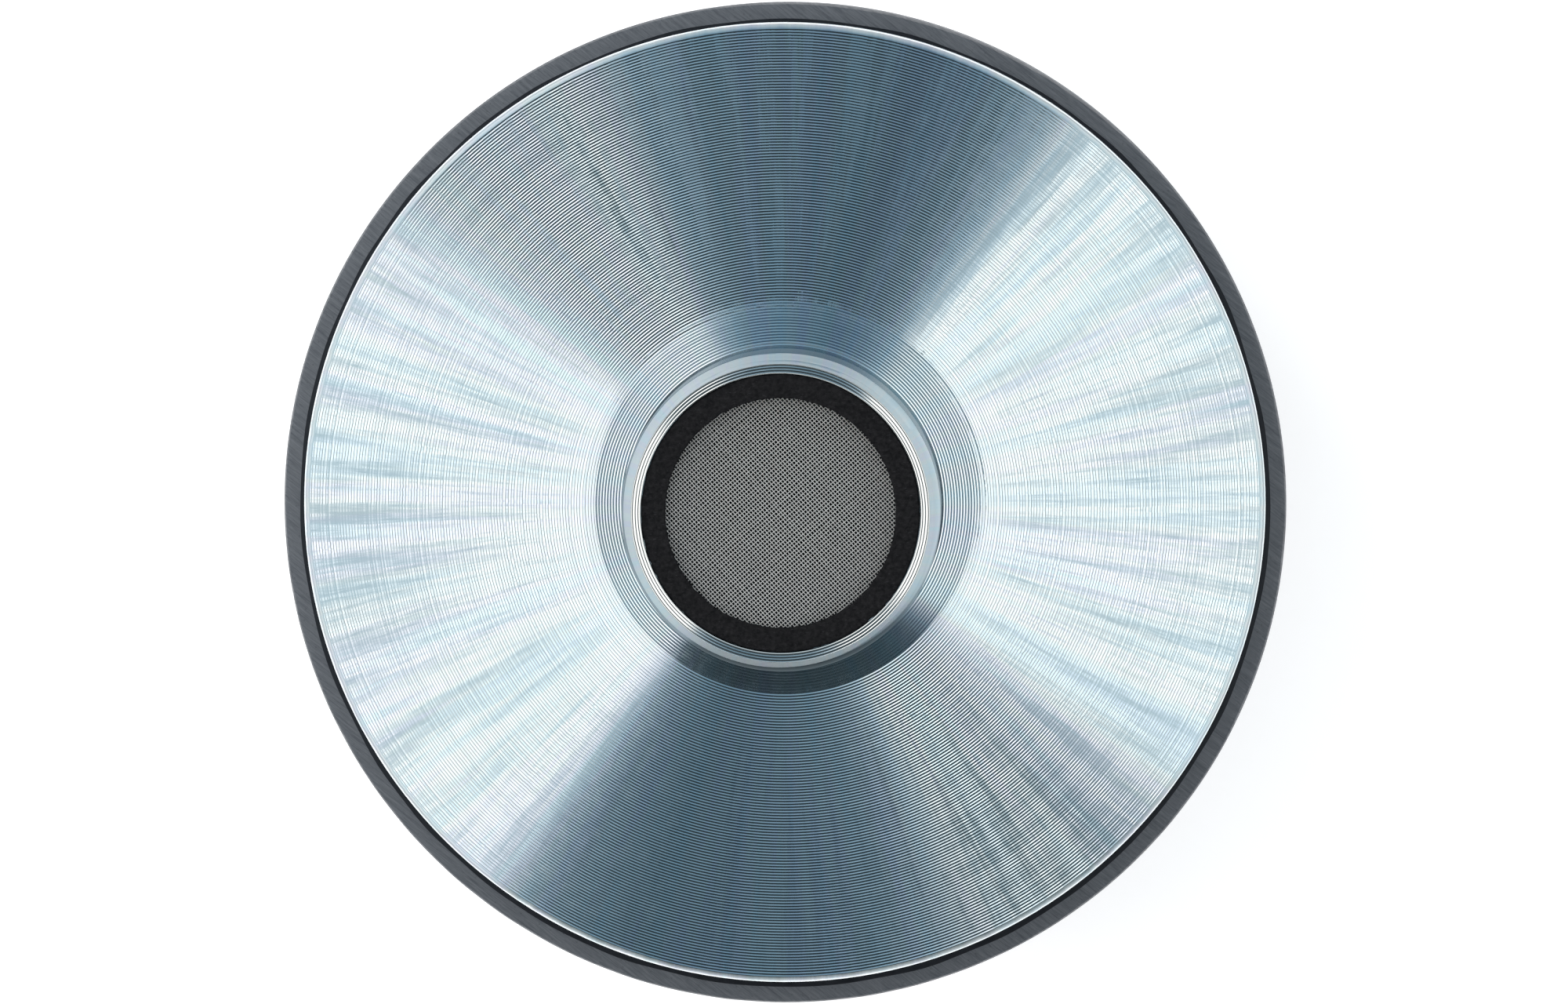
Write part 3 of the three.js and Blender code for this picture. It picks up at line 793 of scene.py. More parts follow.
FEED = 0.3157  # how far the tool moves in each turn of the front plate
GROOVE_DEPTH = 0.027
GROOVE_FLOOR = 0.08  # half the width of a groove's flat floor, as a share of the feed
END_FEED = 0.27  # the same three measures on the end of the neck
END_GROOVE_DEPTH = 0.02
END_GROOVE_FLOOR = 0.17
NECK_R = 17.45
THREAD_PITCH = 25.4 / 18
THREAD_DEPTH = 0.541 * THREAD_PITCH  # of a 60 degree thread
NECK_ROOT_R = NECK_R - THREAD_DEPTH
LIP_R = 16.27
NECK_CHAMFER = 1.6
RELIEF = 1.3  # the height over which the thread runs out into the groove above the plate
SEAT_R = 15.25
THROAT_R = 12.7
THROAT_START_R = 9.9
POLE_R = 21.6
CONE_REAR_R = 18.5
CONE_FRONT = MAGNET_REAR + 10
YOKE_SEGMENTS = 192


def ripple(segments, amount, waves, seed):
    """A smooth random wobble round the axis, up to amount each way."""
    rng = np.random.default_rng(seed)
    angles = ring_angles(segments)
    total = sum(rng.normal() * np.sin(k * angles + rng.uniform(0, 2 * pi)) for k in waves)
    return amount * total / np.abs(total).max()


def grooved(start, end, height, feed, depth, flat=GROOVE_FLOOR):
    """Points across a turned face from one radius to another, a straight-sided groove at a time."""
    rng = np.random.default_rng(7)
    count = round(abs(end - start) / feed)
    step = (end - start) / count
    points = []
    for i in range(count):
        floor = height - depth * rng.uniform(0.9, 1.1)
        points.append((start + i * step, height, True))
        points.append((start + (i + 0.5 - flat) * step, floor, True))
        points.append((start + (i + 0.5 + flat) * step, floor, True))
    return points + [(end, height, True)]


def thread_mesh():
    """The neck's right-hand 60 degree thread: one strip a pitch wide, laid along the helix.

    The strip is held down by the neck's chamfer at the top, and runs out over the plate.
    """
    low, high = FACE + 0.15, NECK_END - 0.02
    shares = np.array([-0.5, -0.45, -0.29, -0.1, -0.055, 0.055, 0.1, 0.29, 0.45, 0.5])
    flank = np.clip((np.abs(shares) - 1 / 16) / (5 / 16), 0, 1)
    section = NECK_R - THREAD_DEPTH * (flank - 0.04 * np.sin(2 * pi * flank))
    turns = (high - low) / THREAD_PITCH + 1
    steps = int(turns * YOKE_SEGMENTS)
    angles = np.arange(steps + 1) * 2 * pi / YOKE_SEGMENTS
    z = low - THREAD_PITCH / 2 + (angles / (2 * pi))[:, None] * THREAD_PITCH + shares * THREAD_PITCH
    z = np.clip(z, low, high)
    chamfer = LIP_R + (NECK_END - z) * (NECK_R - LIP_R) / NECK_CHAMFER
    run_out = NECK_ROOT_R + np.clip((z - low) / RELIEF, 0, 1) * THREAD_DEPTH
    r = np.minimum(np.minimum(section, chamfer), run_out)
    points = np.stack([r * np.cos(angles)[:, None], r * np.sin(angles)[:, None], z], -1).reshape(-1, 3)
    width = len(shares)
    a = (np.arange(steps)[:, None] * width + np.arange(width - 1)).ravel()
    return points, np.stack([a, a + width, a + width + 1, a + 1], 1).tolist()


def make_yoke(finish):
    plate_edge = 0.7
    profile = [
        (CONE_REAR_R, POLE_REAR), (POLE_R - 0.25, REAR_PLATE - 0.6), (POLE_R, REAR_PLATE - 0.3),
        (POLE_R, MAGNET_FRONT - 0.5), (POLE_R + 0.5, MAGNET_FRONT), (PLATE_R - 0.4, MAGNET_FRONT),
        (PLATE_R, MAGNET_FRONT + 0.4), (PLATE_R, FACE - plate_edge),
        (PLATE_R - 0.12, FACE - plate_edge + 0.22), (PLATE_R - plate_edge + 0.1, FACE - 0.04),
        *grooved(PLATE_R - plate_edge, NECK_ROOT_R + 1, FACE, FEED, GROOVE_DEPTH),
        (NECK_ROOT_R + 0.5, FACE), (NECK_ROOT_R + 0.15, FACE + 0.03), (NECK_ROOT_R, FACE + 0.15),
        (LIP_R, NECK_END - 0.02),
        *grooved(LIP_R, SEAT_R + 0.1, NECK_END, END_FEED, END_GROOVE_DEPTH, END_GROOVE_FLOOR),
        (SEAT_R, NECK_END - 0.1), (SEAT_R, SEAT), (THROAT_R, SEAT), (THROAT_START_R, CONE_FRONT),
    ]
    yoke = revolve(profile, YOKE_SEGMENTS)
    thread = welded(mesh_object(*thread_mesh()), 0.002)
    return stands_for(joined(yoke, smooth(thread, 24)), "yoke", finish)


def make_rear_plate(finish):
    bore = outer_radius("voice_coil") + 0.55
    ring_r = outer_radius("diaphragm_ring")
    profile = [
        (bore, REAR_PLATE + 0.3), (bore, MAGNET_REAR), (PLATE_R - 0.4, MAGNET_REAR),
        (PLATE_R, MAGNET_REAR - 0.4), (PLATE_R, REAR_PLATE + 0.7), (PLATE_R - 0.7, REAR_PLATE),
        *grooved(PLATE_R - 0.7, ring_r - 1.5, REAR_PLATE, FEED, -GROOVE_DEPTH),
        (bore + 0.3, REAR_PLATE),
    ]
    return stands_for(revolve(profile, YOKE_SEGMENTS), "rear_plate", finish)


MAGNET_OFF_CENTRE = (-0.2, -0.64)  # where it slid to before the adhesive set


def make_magnet(finish):
    """The ring magnet, its ground edges chipped a little."""
    segments = 320
    low_edge = 0.8 + ripple(segments, 0.12, range(9, 60), 1)
    high_edge = 0.75 + ripple(segments, 0.12, range(9, 70), 2)
    hole = 30
    profile = [
        (hole, MAGNET_REAR + 0.5), (hole, MAGNET_FRONT - 0.5), (hole + 0.5, MAGNET_FRONT),
        (MAGNET_R - high_edge, MAGNET_FRONT),
        (MAGNET_R - 0.28 * high_edge, MAGNET_FRONT - 0.3 * high_edge),
        (MAGNET_R, MAGNET_FRONT - high_edge), (MAGNET_R - 0.03, (MAGNET_FRONT + MAGNET_REAR) / 2),
        (MAGNET_R, MAGNET_REAR + low_edge), (MAGNET_R - 0.28 * low_edge, MAGNET_REAR + 0.3 * low_edge),
        (MAGNET_R - low_edge, MAGNET_REAR), (hole + 0.5, MAGNET_REAR),
    ]
    magnet = moved(revolve(profile, segments), shift(*MAGNET_OFF_CENTRE))
    return stands_for(magnet, "ring_magnet", finish)


def make_bead(node, face, direction, seed, finish):
    """Adhesive squeezed out between a plate and the magnet, in an uneven line. Its near-black colour is
    partly the adhesive's own and partly painted shade of the gap there.
    """
    segments = 360
    inner = PLATE_R - 0.75
    reach = 1.72 + ripple(segments, 0.13, range(1, 40), seed)
    rise = 0.4 + ripple(segments, 0.08, range(2, 50), seed + 1)
    arc = [(sin(t) ** 0.5, cos(t)) for t in np.linspace(0, pi / 2, 7)]
    profile = [(inner, face), *[(inner + reach * s, face + direction * rise * c) for s, c in arc]]
    bead = moved(revolve(profile, segments), shift(*MAGNET_OFF_CENTRE))
    return stands_for(bead, node, finish)


# The dust screen is a plain weave. Its two wire directions aren't quite square to each other.
WIRE_R = 0.056
WEAVE = [
    {"angle": -48.6, "pitch": 0.323, "side": 1},
    {"angle": 40.1, "pitch": 0.376, "side": -1},
]


def weave_wires(own, other, reach, rng):
    """Tubes for one direction of the weave, each passing over and under the other direction's wires."""
    along = Vector((cos(radians(own["angle"])), sin(radians(own["angle"]))))
    across = Vector((-along.y, along.x))
    crossing = radians(own["angle"] - other["angle"])
    step = other["pitch"] / abs(sin(crossing))
    lean = own["pitch"] / tan(crossing)
    count = int(reach / own["pitch"])
    mid = (SEAT + SCREEN_TOP) / 2
    wires = []
    for i in range(-count, count + 1):
        offset = i * own["pitch"] + rng.normal(0, 0.012)
        half = sqrt(max(reach ** 2 - offset ** 2, 0))
        first = ceil((-half + i * lean) / (step / 2))
        last = floor((half + i * lean) / (step / 2))
        if last - first < 4:
            continue
        path = []
        for k in range(first, last + 1):
            s = k * step / 2 - i * lean
            lift = WIRE_R * own["side"] * cos(pi * (k / 2 + i))
            spot = along * s + across * offset
            path.append((spot.x, spot.y, mid + lift))
        wires.append(tube_mesh(path, WIRE_R, 4, capped=False))
    return wires


def make_screen(finish):
    rng = np.random.default_rng(5)
    first, second = WEAVE
    reach = 13.3
    wires = weave_wires(first, second, reach, rng) + weave_wires(second, first, reach, rng)
    return stands_for(merged(wires, 75), "throat_screen", finish)


def make_gasket(finish):
    """The black ring on the screen, cut a little roughly."""
    low, high = heights("screen_gasket")
    segments = 320
    outer = outer_radius("screen_gasket") + 0.03 + ripple(segments, 0.05, range(5, 90), 11)
    inner = 12.56 + ripple(segments, 0.07, range(4, 80), 12)
    top = high - 0.05 + ripple(segments, 0.05, range(3, 60), 13)
    profile = [
        (inner, low), (inner - 0.02, top - 0.15), (inner + 0.13, top),
        ((inner + outer) / 2, top + ripple(segments, 0.05, range(6, 70), 14)), (outer - 0.13, top),
        (outer, top - 0.14), (outer, low),
    ]
    return stands_for(revolve(profile, segments), "screen_gasket", finish)


# ---------------------------------------------------------------- phase plug and diaphragm

DOME_REAR, RIM_FRONT = heights("dome")
RIM_R = outer_radius("dome")
FORMER_R = 22
SHELL = 0.4
DOME_RISE = RIM_FRONT - DOME_REAR
DOME_SPHERE_R = (FORMER_R ** 2 + DOME_RISE ** 2) / (2 * DOME_RISE)
DOME_CENTRE = DOME_REAR + DOME_SPHERE_R
PLUG_SPHERE_R = DOME_SPHERE_R - SHELL - 0.69


def on_sphere(radius, r):
    return r, DOME_CENTRE - sqrt(radius ** 2 - r ** 2)


def plug_face(start, end):
    return [on_sphere(PLUG_SPHERE_R, r) for r in np.linspace(start, end, 8)]


def make_phase_plug(finish):
    """Three rings that leave two ring-shaped slots between them, held by three thin vanes."""
    slope = (CONE_REAR_R - THROAT_START_R) / (CONE_FRONT - POLE_REAR)
    tip = CONE_FRONT - 2.5
    outer = revolve([
        (CONE_REAR_R - 0.1, POLE_REAR), (THROAT_START_R + 2.5 * slope - 0.1, tip),
        (THROAT_START_R + 2.5 * slope - 0.35, tip + 0.1), (THROAT_START_R + 2.5 * slope - 0.5, tip),
        *plug_face(14.8, CONE_REAR_R - 0.3),
    ], 96)
    middle = revolve([*plug_face(7.4, 13.6), (5.9, CONE_FRONT - 4), (4.6, CONE_FRONT - 4)], 96)
    core = revolve([
        *plug_face(0, 6.2),
        (4.4, CONE_FRONT - 11), (2.3, CONE_FRONT - 4), (0.9, CONE_FRONT + 0.4), (0, CONE_FRONT + 1),
    ], 96)
    vane = [(3, CONE_FRONT - 13), (13.6, CONE_FRONT - 12), (11.8, CONE_FRONT - 6), (3, CONE_FRONT - 6.5)]
    vanes = []
    for n in range(3):
        blade = prism(vane, -0.7, 0.7)
        turn = Matrix.Rotation(n * 2 * pi / 3 + pi / 2, 4, "Z")
        vanes.append(moved(blade, turn @ Matrix.Rotation(pi / 2, 4, "X")))
    return stands_for(smooth(combine(outer, [middle, core, *vanes], "UNION")), "phase_plug", finish)


def make_dome(finish):
    rim_rear = RIM_FRONT - SHELL

    def arc(radius, rim):
        edge = sqrt(radius ** 2 - (DOME_CENTRE - rim) ** 2)
        return [on_sphere(radius, r) for r in np.linspace(0, edge, 28)]

    rear = arc(DOME_SPHERE_R, rim_rear)
    front = arc(DOME_SPHERE_R - SHELL, RIM_FRONT)[::-1]
    profile = [*rear, (RIM_R - 0.1, rim_rear), (RIM_R, rim_rear + 0.15), (RIM_R, RIM_FRONT), *front]
    return stands_for(revolve(profile, 160), "dome", finish)


def make_coil(former_finish, coil_finish):
    """The former, and the coil wound edge to edge round it."""
    low, high = heights("coil_former")
    outer = outer_radius("coil_former")
    corners = [(FORMER_R, low), (outer, low), (outer, high), (FORMER_R, high)]
    former = revolve(fillet(corners, 0.06), 160)
    stands_for(former, "coil_former", former_finish)
    low, high = heights("voice_coil")
    radius = outer_radius("voice_coil")
    turns = 34
    step = (high - low) / turns
    wound = []
    for i in range(turns):
        wound.append((radius - 0.035, low + i * step, True))
        wound.append((radius, low + (i + 0.3) * step))
        wound.append((radius, low + (i + 0.7) * step))
    profile = [(outer, high), (outer, low), *wound, (radius - 0.035, high)]
    stands_for(revolve(profile, 160), "voice_coil", coil_finish)


def make_surround(finish):
    """The film between dome and ring: a low cone with shallow ripples, flat where it is glued."""
    thick = 0.12
    inner_z = RIM_FRONT - SHELL
    low, high = heights("surround")
    outer = outer_radius("surround")
    start, end = RIM_R + 0.9, outer - 2
    top = [(RIM_R - 0.7, inner_z)]
    for r in np.linspace(start, end, 60):
        share = (r - start) / (end - start)
        wave = 0.11 * sin(2 * pi * 3 * share) * sin(pi * share)
        top.append((r, inner_z + (high - inner_z) * share + wave))
    top.append((outer, high))
    rear = [(r, z - thick) for r, z in top[::-1]]
    piece = revolve([*top, *rear], 160)
    stands_for(piece, "surround", finish, bends=((0, 0, high - thick), (0, 0, inner_z)))


def make_ring(finish, clamp_finish):
    low, high = heights("diaphragm_ring")
    outer = outer_radius("diaphragm_ring")
    ledge_z = heights("surround")[1]
    ledge_r = outer_radius("surround") + 0.2
    hole = ledge_r - 2.8
    ledge = [(hole, ledge_z), (ledge_r, ledge_z), (ledge_r, low)]
    corners = [*ledge, (outer, low), (outer, high), (hole, high)]
    ring = revolve(fillet(corners, [0.15, 0.05, 0.25, 0.35, 0.35, 0.15]), 160)
    stands_for(ring, "diaphragm_ring", finish)
    low, high = heights("surround_clamp_ring")
    corners = [(hole + 0.8, low), (ledge_r - 0.2, low), (ledge_r - 0.2, high), (hole + 0.8, high)]
    stands_for(revolve(fillet(corners, 0.12), 160), "surround_clamp_ring", clamp_finish)


def contact_place(node):
    low, high = span(node)
    return (low[0] + high[0]) / 2, (low[1] + high[1]) / 2


def make_lead(colour, copper, brass):
    """One side's flat lead and the eyelet that it is soldered to."""
    x, y = contact_place("contact_eyelet_" + colour)
    radius, angle = hypot(x, y), atan2(y, x)
    land = heights("surround")[0]
    route = [
        (RIM_R - 0.6, land), (RIM_R, land), (RIM_R + 1.2, land - 0.6), (RIM_R + 5, land - 0.9),
        (RIM_R + 7.5, land - 1), (RIM_R + 8.6, RING_REAR - 0.05), (radius - 1.1, RING_REAR - 0.05),
    ]
    line = smooth_path([(r, 0, z) for r, z in route], 8)
    half, thick = 1.05, 0.14
    section = [(-half, 0), (half, 0), (half, -thick), (-half, -thick)]
    points = np.array([(r, w, z + t) for r, _, z in line for w, t in section])
    faces = [(i * 4 + k, i * 4 + (k + 1) % 4, i * 4 + 4 + (k + 1) % 4, i * 4 + 4 + k)
             for i in range(len(line) - 1) for k in range(4)]
    last = len(points)
    faces += [(3, 2, 1, 0), (last - 4, last - 3, last - 2, last - 1)]
    strip = smooth(mesh_object(points, turned_outwards(points, faces)))
    moved(strip, Matrix.Rotation(angle, 4, "Z"))
    toward = (cos(angle), sin(angle))
    start = (toward[0] * (RIM_R + 8.4), toward[1] * (RIM_R + 8.4), land)
    end = (toward[0] * RIM_R, toward[1] * RIM_R, land)
    stands_for(strip, "lead_strip_" + colour, copper, bends=(start, end))
    low, high = heights("contact_eyelet_" + colour)
    eyelet = revolve([
        (0, low + 0.35), (0.55, low + 0.3), (0.75, low), (1.05, low + 0.02), (1.2, low + 0.3),
        (1.15, RING_REAR - 0.1), (1.1, RING_REAR), (1.1, high), (0, high),
    ], 32)
    stands_for(moved(eyelet, shift(x, y)), "contact_eyelet_" + colour, brass)


def smooth_path(points, steps):
    """A Catmull-Rom curve through the points, with steps points from each to the next."""
    points = [np.array(p, float) for p in points]
    ends = [2 * points[0] - points[1], *points, 2 * points[-1] - points[-2]]
    made = []
    for i in range(1, len(ends) - 2):
        a, b, c, d = ends[i - 1 : i + 3]
        for k in range(steps):
            t = k / steps
            made.append(0.5 * (2 * b + (c - a) * t + (2 * a - 5 * b + 4 * c - d) * t ** 2
                               + (3 * b - a - 3 * c + d) * t ** 3))
    return [*made, points[-1]]


# ---------------------------------------------------------------- the rear cover

OUTWARD = Matrix.Rotation(pi / 2, 4, "X")  # a piece drawn along +Z is turned to point along -Y
BLOCK_LOW, BLOCK_HIGH = span("terminal_block")
TERMINAL_Z = (BLOCK_LOW[2] + BLOCK_HIGH[2]) / 2
BOSS_FACE = 40
BOSS_INSIDE = 33.5
COVER_FRONT = heights("rear_cover")[1]
FLANGE_REAR = 15
SCREWS = [f"cover_screw_{i}" for i in range(1, 5)]
COLOURS = ("red", "black")


def terminal_x(colour):
    low, high = span("terminal_cap_" + colour)
    return (low[0] + high[0]) / 2


def outwards(obj, x=0.0, z=TERMINAL_Z):
    """Turns a piece drawn along +Z to point out of the terminal side, and puts it in its place there."""
    return moved(obj, shift(x, 0, z) @ OUTWARD)


def make_cover(finish):
    flange_r = outer_radius("rear_cover")
    body_r, chamber_r, wall = 38.5, 36, 2.5
    corners = [
        (0, 0), (26.6, 0), (27.1, 0.45), (29.6, 0.45), (30.1, 0), (body_r - 3, 0), (body_r, 3),
        (body_r, FLANGE_REAR), (flange_r, FLANGE_REAR), (flange_r, COVER_FRONT),
        (chamber_r, COVER_FRONT), (chamber_r, wall + 2), (chamber_r - 2, wall), (0, wall),
    ]
    radii = [0, 0.2, 0.2, 0.2, 0.2, 1.4, 1.4, 0.7, 0.6, 0.5, 0.3, 0.8, 0.8, 0]
    cup = revolve(fillet(corners, radii), 192)
    width = 30
    boss_low, boss_high = 0.8, FLANGE_REAR + 0.5
    boss = prism(rectangle(width, boss_high - boss_low, 1.4), BOSS_INSIDE, BOSS_FACE)
    soften(boss, 0.5, 3, 60)
    outwards(boss, 0, (boss_low + boss_high) / 2)
    combine(cup, [boss], "UNION")
    tools = []
    for colour in COLOURS:
        tools.append(outwards(cylinder(5.6, 38.2, BOSS_FACE + 1), terminal_x(colour)))
        tools.append(outwards(cylinder(1.7, BOSS_INSIDE - 1, 39), terminal_x(colour)))
    for screw in SCREWS:
        x, y = contact_place(screw)
        tools.append(moved(cylinder(2.2, FLANGE_REAR - 1, COVER_FRONT + 1), shift(x, y)))
    combine(cup, tools)
    return stands_for(smooth(cup, 30), "rear_cover", finish)


def make_cover_gasket(finish):
    low, high = heights("cover_gasket")
    outer = outer_radius("cover_gasket")
    segments = 256
    bulge = outer + 0.12 + ripple(segments, 0.1, range(3, 40), 21)
    profile = [(37, low), (outer, low), (bulge, (low + high) / 2), (outer, high), (37, high)]
    return stands_for(revolve(profile, segments), "cover_gasket", finish)


def make_pad(finish):
    """The foam disc that lines the cover: its cut edge is a little uneven and its face is puffed."""
    low, high = heights("damping_pad")
    radius = outer_radius("damping_pad") - 0.3
    segments = 160
    edge = radius + ripple(segments, 0.25, range(3, 50), 31)
    profile = [(0, low), (radius - 0.6, low), (edge, low + 0.7)]
    profile += [(edge + 0.1, (low + high) / 2), (edge, high - 0.8)]
    for r in np.linspace(radius - 0.7, 2, 24):
        profile.append((r, high - 0.25 + ripple(segments, 0.14, range(2, 40), int(r * 7))))
    profile.append((0, high - 0.2))
    pad = stands_for(revolve(profile, segments), "damping_pad", finish)


def hexagon(across_flats, segments):
    angles = ring_angles(segments)
    return across_flats / 2 / np.cos((angles + pi / 6) % (pi / 3) - pi / 6)


def make_cover_screws(finish):
    """M4 socket head cap screws, heads to the rear."""
    segments = 144
    radius, shank = 3.5, 2.0
    socket = hexagon(3, segments)
    knurl = 0.055 * np.abs(np.sin(18 * ring_angles(segments)))
    for node in SCREWS:
        low, high = heights(node)
        x, y = contact_place(node)
        profile = [
            (0, low + 2.5), (socket * 0.98, low + 2.2), (socket, low + 0.2),
            (socket + 0.14, low + 0.03), (1.95, low), (radius - 0.5, low), (radius - 0.22, low + 0.09),
            (radius - 0.06, low + 0.35), (radius - 0.04 + knurl * 0.5, low + 0.5),
            (radius - 0.04 + knurl, low + 0.75), (radius - 0.04 + knurl, FLANGE_REAR - 0.5),
            (radius - 0.04, FLANGE_REAR - 0.3), (radius - 0.15, FLANGE_REAR), (shank, FLANGE_REAR),
            (shank, high - 0.6), (shank - 0.6, high), (0, high),
        ]
        screw = revolve(profile, segments)
        turn = Matrix.Rotation(x * 3.1 + y, 4, "Z")
        stands_for(moved(screw, shift(x, y) @ turn), node, finish)


def make_pins(finish):
    for node in ("locating_pin_1", "locating_pin_2"):
        low, high = heights(node)
        radius = outer_radius(node)
        x, y = contact_place(node)
        pin = revolve([
            (0, low), (radius - 0.35, low), (radius, low + 0.35), (radius, high - 0.35),
            (radius - 0.35, high), (0, high),
        ], 32)
        stands_for(moved(pin, shift(x, y)), node, finish)


# ---------------------------------------------------------------- the push terminals

# These pieces are drawn with +Z pointing out of the terminal side, at their distance from the axis.
COLLAR_END = -BLOCK_LOW[1]
BLOCK_FRONT = BOSS_FACE + 2.8
WELL_FLOOR = 40.5
CAP_R = outer_radius("terminal_cap_red")
CAP_INNER = -span("terminal_cap_red")[1][1]
CAP_OUTER = -span("terminal_cap_red")[0][1]
SPRING_SEAT = 45.6
POST_R = 1.5
POST_TIP = -span("terminal_post_red")[0][1]
WIRE_HOLE = 46.9
TRAVEL = {j["name"]: j["range_m"] for j in RECORD["behaviour"]["joints"]}
STROKE = TRAVEL["red_terminal_push"][1] / MM


def at_terminal(obj, kind, colour, finish):
    """Puts a terminal's piece in its place and gives it its finish."""
    return stands_for(outwards(obj, terminal_x(colour)), f"{kind}_{colour}", finish)


def cross_tool(radius, height):
    tool = cylinder(radius, -8, 8, 40)
    return moved(tool, shift(0, 0, height) @ Matrix.Rotation(pi / 2, 4, "Y"))


def make_block(finish):
    centres = [terminal_x(c) for c in COLOURS]
    block = prism(rectangle(29, BLOCK_HIGH[2] - BLOCK_LOW[2], 1.3), BOSS_FACE, BLOCK_FRONT)
    soften(block, 0.3, 3, 60)
    collars = []
    for x in centres:
        corners = [(0, 38.5), (5.4, 38.5), (5.4, COLLAR_END), (0, COLLAR_END)]
        collars.append(moved(revolve(fillet(corners, [0, 0.1, 0.3, 0]), 96), shift(x)))
    combine(block, collars, "UNION")
    tools = []
    for x in centres:
        well = [(0, WELL_FLOOR), (CAP_R + 0.2, WELL_FLOOR), (CAP_R + 0.2, COLLAR_END - 0.25),
                (CAP_R + 0.6, COLLAR_END + 0.2), (CAP_R + 0.6, COLLAR_END + 1), (0, COLLAR_END + 1)]
        tools.append(moved(revolve(well, 96), shift(x)))
        tools.append(moved(cylinder(POST_R + 0.2, 38, 42), shift(x)))
    for node in ("block_screw_1", "block_screw_2"):
        low, high = span(node)
        z = (low[2] + high[2]) / 2 - TERMINAL_Z
        tools.append(moved(cylinder(1.4, BOSS_FACE - 1, BLOCK_FRONT + 1, 32), shift(0, z)))
    combine(block, tools)
    return stands_for(outwards(smooth(block, 30)), "terminal_block", finish)


def make_cap(colour, finish):
    """A ribbed push cap, hollow for its spring and post, with a hole across for the wire."""
    segments = 192
    teeth = 24
    wave = (0.5 + 0.5 * np.cos(teeth * ring_angles(segments))) ** 0.5
    ribbed = CAP_R - 0.22 + 0.2 * wave
    plain = CAP_R - 0.05
    profile = [
        (POST_R + 0.2, SPRING_SEAT), (3.1, SPRING_SEAT), (3.1, CAP_INNER), (plain - 0.2, CAP_INNER),
        (plain, CAP_INNER + 0.2), (plain, COLLAR_END + 0.9), (plain - 0.02, COLLAR_END + 1.0),
        (ribbed, COLLAR_END + 1.25), (ribbed, CAP_OUTER - 1.5), (plain - 0.12, CAP_OUTER - 1.1),
        *[(plain - 0.9 + 0.8 * cos(t), CAP_OUTER - 0.8 + 0.8 * sin(t))
          for t in np.linspace(0.1, pi / 2, 8)],
        (1.9, CAP_OUTER), (1.6, CAP_OUTER - 0.18), (0, CAP_OUTER - 0.25), (0, CAP_OUTER - 1.5),
        (POST_R + 0.2, CAP_OUTER - 1.5),
    ]
    cap = combine(revolve(profile, segments), [cross_tool(1.1, WIRE_HOLE + STROKE)])
    at_terminal(smooth(cap, 40), "terminal_cap", colour, finish)


def make_post(colour, finish):
    start = BOSS_INSIDE - 3.9
    thread = []
    for i in range(12):
        thread.append((POST_R - 0.2, start + 0.4 + i * 0.5))
        thread.append((POST_R, start + 0.65 + i * 0.5))
    profile = [
        (0, start), (POST_R - 0.4, start),
        *thread,
        (POST_R, POST_TIP - 0.4), (POST_R - 0.15, POST_TIP - 0.12), (POST_R - 0.45, POST_TIP),
        (0, POST_TIP),
    ]
    post = combine(revolve(profile, 48), [cross_tool(0.8, WIRE_HOLE)])
    at_terminal(smooth(post), "terminal_post", colour, finish)


def make_spring(colour, finish):
    """A compression spring with closed ends."""
    wire, radius = 0.22, 2.35
    low, high = WELL_FLOOR + wire + 0.02, SPRING_SEAT - wire - 0.02
    path = []
    turns, steps = 5.5, 220
    for i in range(steps + 1):
        t = i / steps
        a = 2 * pi * turns * t
        rise = np.clip((t - 0.14) / 0.72, 0, 1)
        settle = 2 * wire * (min(t, 0.14) + max(t - 0.86, 0)) / 0.14 * 0.5
        share = rise * (high - low - 2 * wire) + settle
        path.append((radius * cos(a), radius * sin(a), low + share))
    spring = at_terminal(tube(path, wire, 10), "terminal_spring", colour, finish)
    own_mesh(spring)


def make_lug(colour, finish):
    """A pressed solder tag: an eye under the nut, and a tail with a hole for the wire."""
    low = BOSS_INSIDE - 0.9
    turns = np.linspace(pi * 0.62, pi * 2.38, 36)
    eye = [(2.9 * cos(a), 2.9 * sin(a)) for a in turns]
    tail = [(1.1, 4.2), (1.1, 5.6), (0.6, 6.2), (-0.6, 6.2), (-1.1, 5.6), (-1.1, 4.2)]
    lug = prism([*eye, *tail], low, low + 0.6)
    wire_hole = moved(cylinder(0.45, low - 1, low + 2, 24), shift(0, 5.2))
    combine(lug, [cylinder(POST_R + 0.1, low - 1, low + 2), wire_hole])
    at_terminal(soften(lug, 0.08, 2), "solder_lug", colour, finish)


def make_nut(colour, finish):
    high = BOSS_INSIDE - 1.0
    low = high - 2.2
    segments = 96
    flats = hexagon(5.5, segments)
    round_off = np.minimum(flats, 5.5 / 2 * 1.06)
    profile = [
        (POST_R + 0.1, low + 0.1), (POST_R + 0.3, low), (np.minimum(flats, 2.62), low),
        (round_off, low + 0.18), (flats, low + 0.5), (flats, high - 0.5), (round_off, high - 0.18),
        (np.minimum(flats, 2.62), high), (POST_R + 0.3, high), (POST_R + 0.1, high - 0.1),
    ]
    at_terminal(revolve(profile, segments), "post_nut", colour, finish)


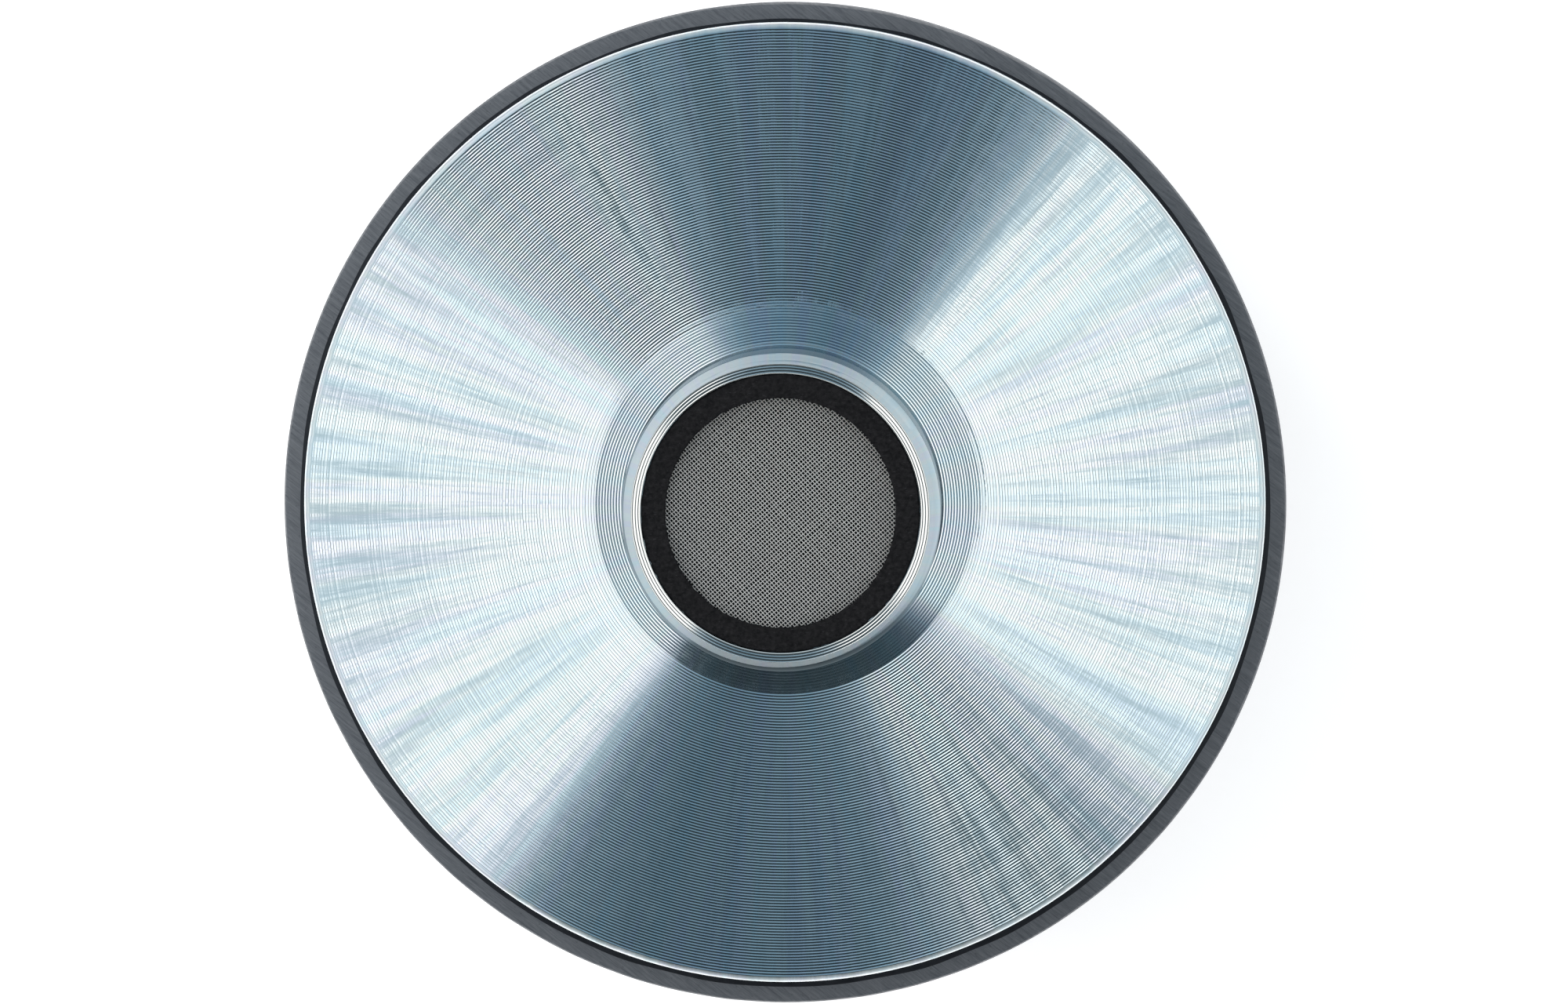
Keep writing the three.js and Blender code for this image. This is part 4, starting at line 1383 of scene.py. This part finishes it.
def make_wire(colour, finish):
    """A short insulated wire inside the cover, from the lug's tail to the contact on the ring."""
    x, y = contact_place("contact_eyelet_" + colour)
    side = 1 if x > 0 else -1
    lug_x = terminal_x(colour)
    lug_y = -(BOSS_INSIDE - 1.75)
    route = [
        (lug_x, lug_y, TERMINAL_Z + 5), (lug_x, lug_y + 0.3, TERMINAL_Z + 7.4),
        (lug_x + side * 0.6, lug_y + 2.1, TERMINAL_Z + 9.6),
        (lug_x + side * 1.8, lug_y + 2.8, TERMINAL_Z + 11.6), (x - side * 0.5, y + 1.2, RING_REAR - 4),
        (x, y, RING_REAR - 1.8),
    ]
    path = smooth_path(route, 12)
    bare = 5
    radii = [0.42 if i < bare or i >= len(path) - bare else 0.75 for i in range(len(path))]
    stands_for(tube(path, radii, 20), "hookup_wire_" + colour, finish)


def make_block_screws(finish):
    """Pan head screws with a cross recess."""
    for node in ("block_screw_1", "block_screw_2"):
        low, high = span(node)
        head = BLOCK_FRONT + 0.02
        top = -low[1]
        dome = [(2.0 * sin(t), head + 0.75 + (top - head - 0.75) * cos(t))
                for t in np.linspace(pi / 2, 0.12, 9)]
        shank = [(0, -high[1]), (0.35, -high[1] + 0.1), (1.0, -high[1] + 1), (1.0, head)]
        profile = [*shank, (2.0, head), *dome, (0, top)]
        screw = revolve(profile, 64)
        arms = []
        for turn in (0.3, 0.3 + pi / 2):
            arm = prism(rectangle(2.1, 0.42, 0.08), top - 0.85, top + 1)
            arms.append(moved(arm, Matrix.Rotation(turn, 4, "Z")))
        combine(screw, arms)
        outwards(smooth(screw, 30), 0, (low[2] + high[2]) / 2)
        stands_for(screw, node, finish)


# ---------------------------------------------------------------- putting it together

def make_driver():
    metal = zinc()
    glue = adhesive()
    steel = drawn_wire("woven_stainless", (0.98, 0.95, 0.92), 0.34, 0.85)
    copper = drawn_wire("enamelled_copper", (0.80, 0.36, 0.17), 0.3)
    brass = plated("pressed_brass", (0.86, 0.66, 0.30), 0.3)
    nickel = plated("bright_nickel", (0.80, 0.78, 0.73), 0.18)
    film = foil("polyimide_film", (0.60, 0.24, 0.035), 0.32, 0.0)
    screws = black_oxide()
    sponge = foam()
    caps = {"red": moulded("gloss_red", (0.52, 0.012, 0.016), 0.28, 0.003),
            "black": moulded("gloss_black", (0.010, 0.010, 0.011), 0.28, 0.003)}
    skins = {"red": moulded("red_insulation", (0.42, 0.012, 0.012), 0.42, 0.004),
             "black": moulded("black_insulation", (0.012, 0.012, 0.012), 0.42, 0.004)}

    make_yoke(metal)
    make_rear_plate(metal)
    make_magnet(ferrite())
    make_bead("front_glue_bead", MAGNET_FRONT, 1, 41, glue)
    make_bead("rear_glue_bead", MAGNET_REAR, -1, 51, glue)
    make_screen(steel)
    make_gasket(fibre())
    make_phase_plug(moulded("plug_plastic", (0.002, 0.002, 0.002), 0.8, Specular_IOR_Level=0.1))
    make_dome(foil("titanium_foil", (0.60, 0.57, 0.53), 0.3, 1.0))
    make_coil(film, copper)
    make_surround(film)
    make_ring(moulded("glass_filled_grey", (0.095, 0.10, 0.105), 0.55), nickel)
    make_cover(moulded("cover_plastic", (0.006, 0.006, 0.0065), 0.42))
    make_cover_gasket(sponge)
    make_pad(sponge)
    make_cover_screws(screws)
    make_pins(nickel)
    make_block(moulded("block_plastic", (0.012, 0.012, 0.013), 0.4, 0.006))
    make_block_screws(screws)
    for colour in COLOURS:
        make_lead(colour, copper, brass)
        make_cap(colour, caps[colour])
        make_post(colour, nickel)
        make_spring(colour, steel)
        make_lug(colour, brass)
        make_nut(colour, brass)
        make_wire(colour, skins[colour])


make_camera()
make_dome_light()
make_lights()
make_floor()
make_driver()
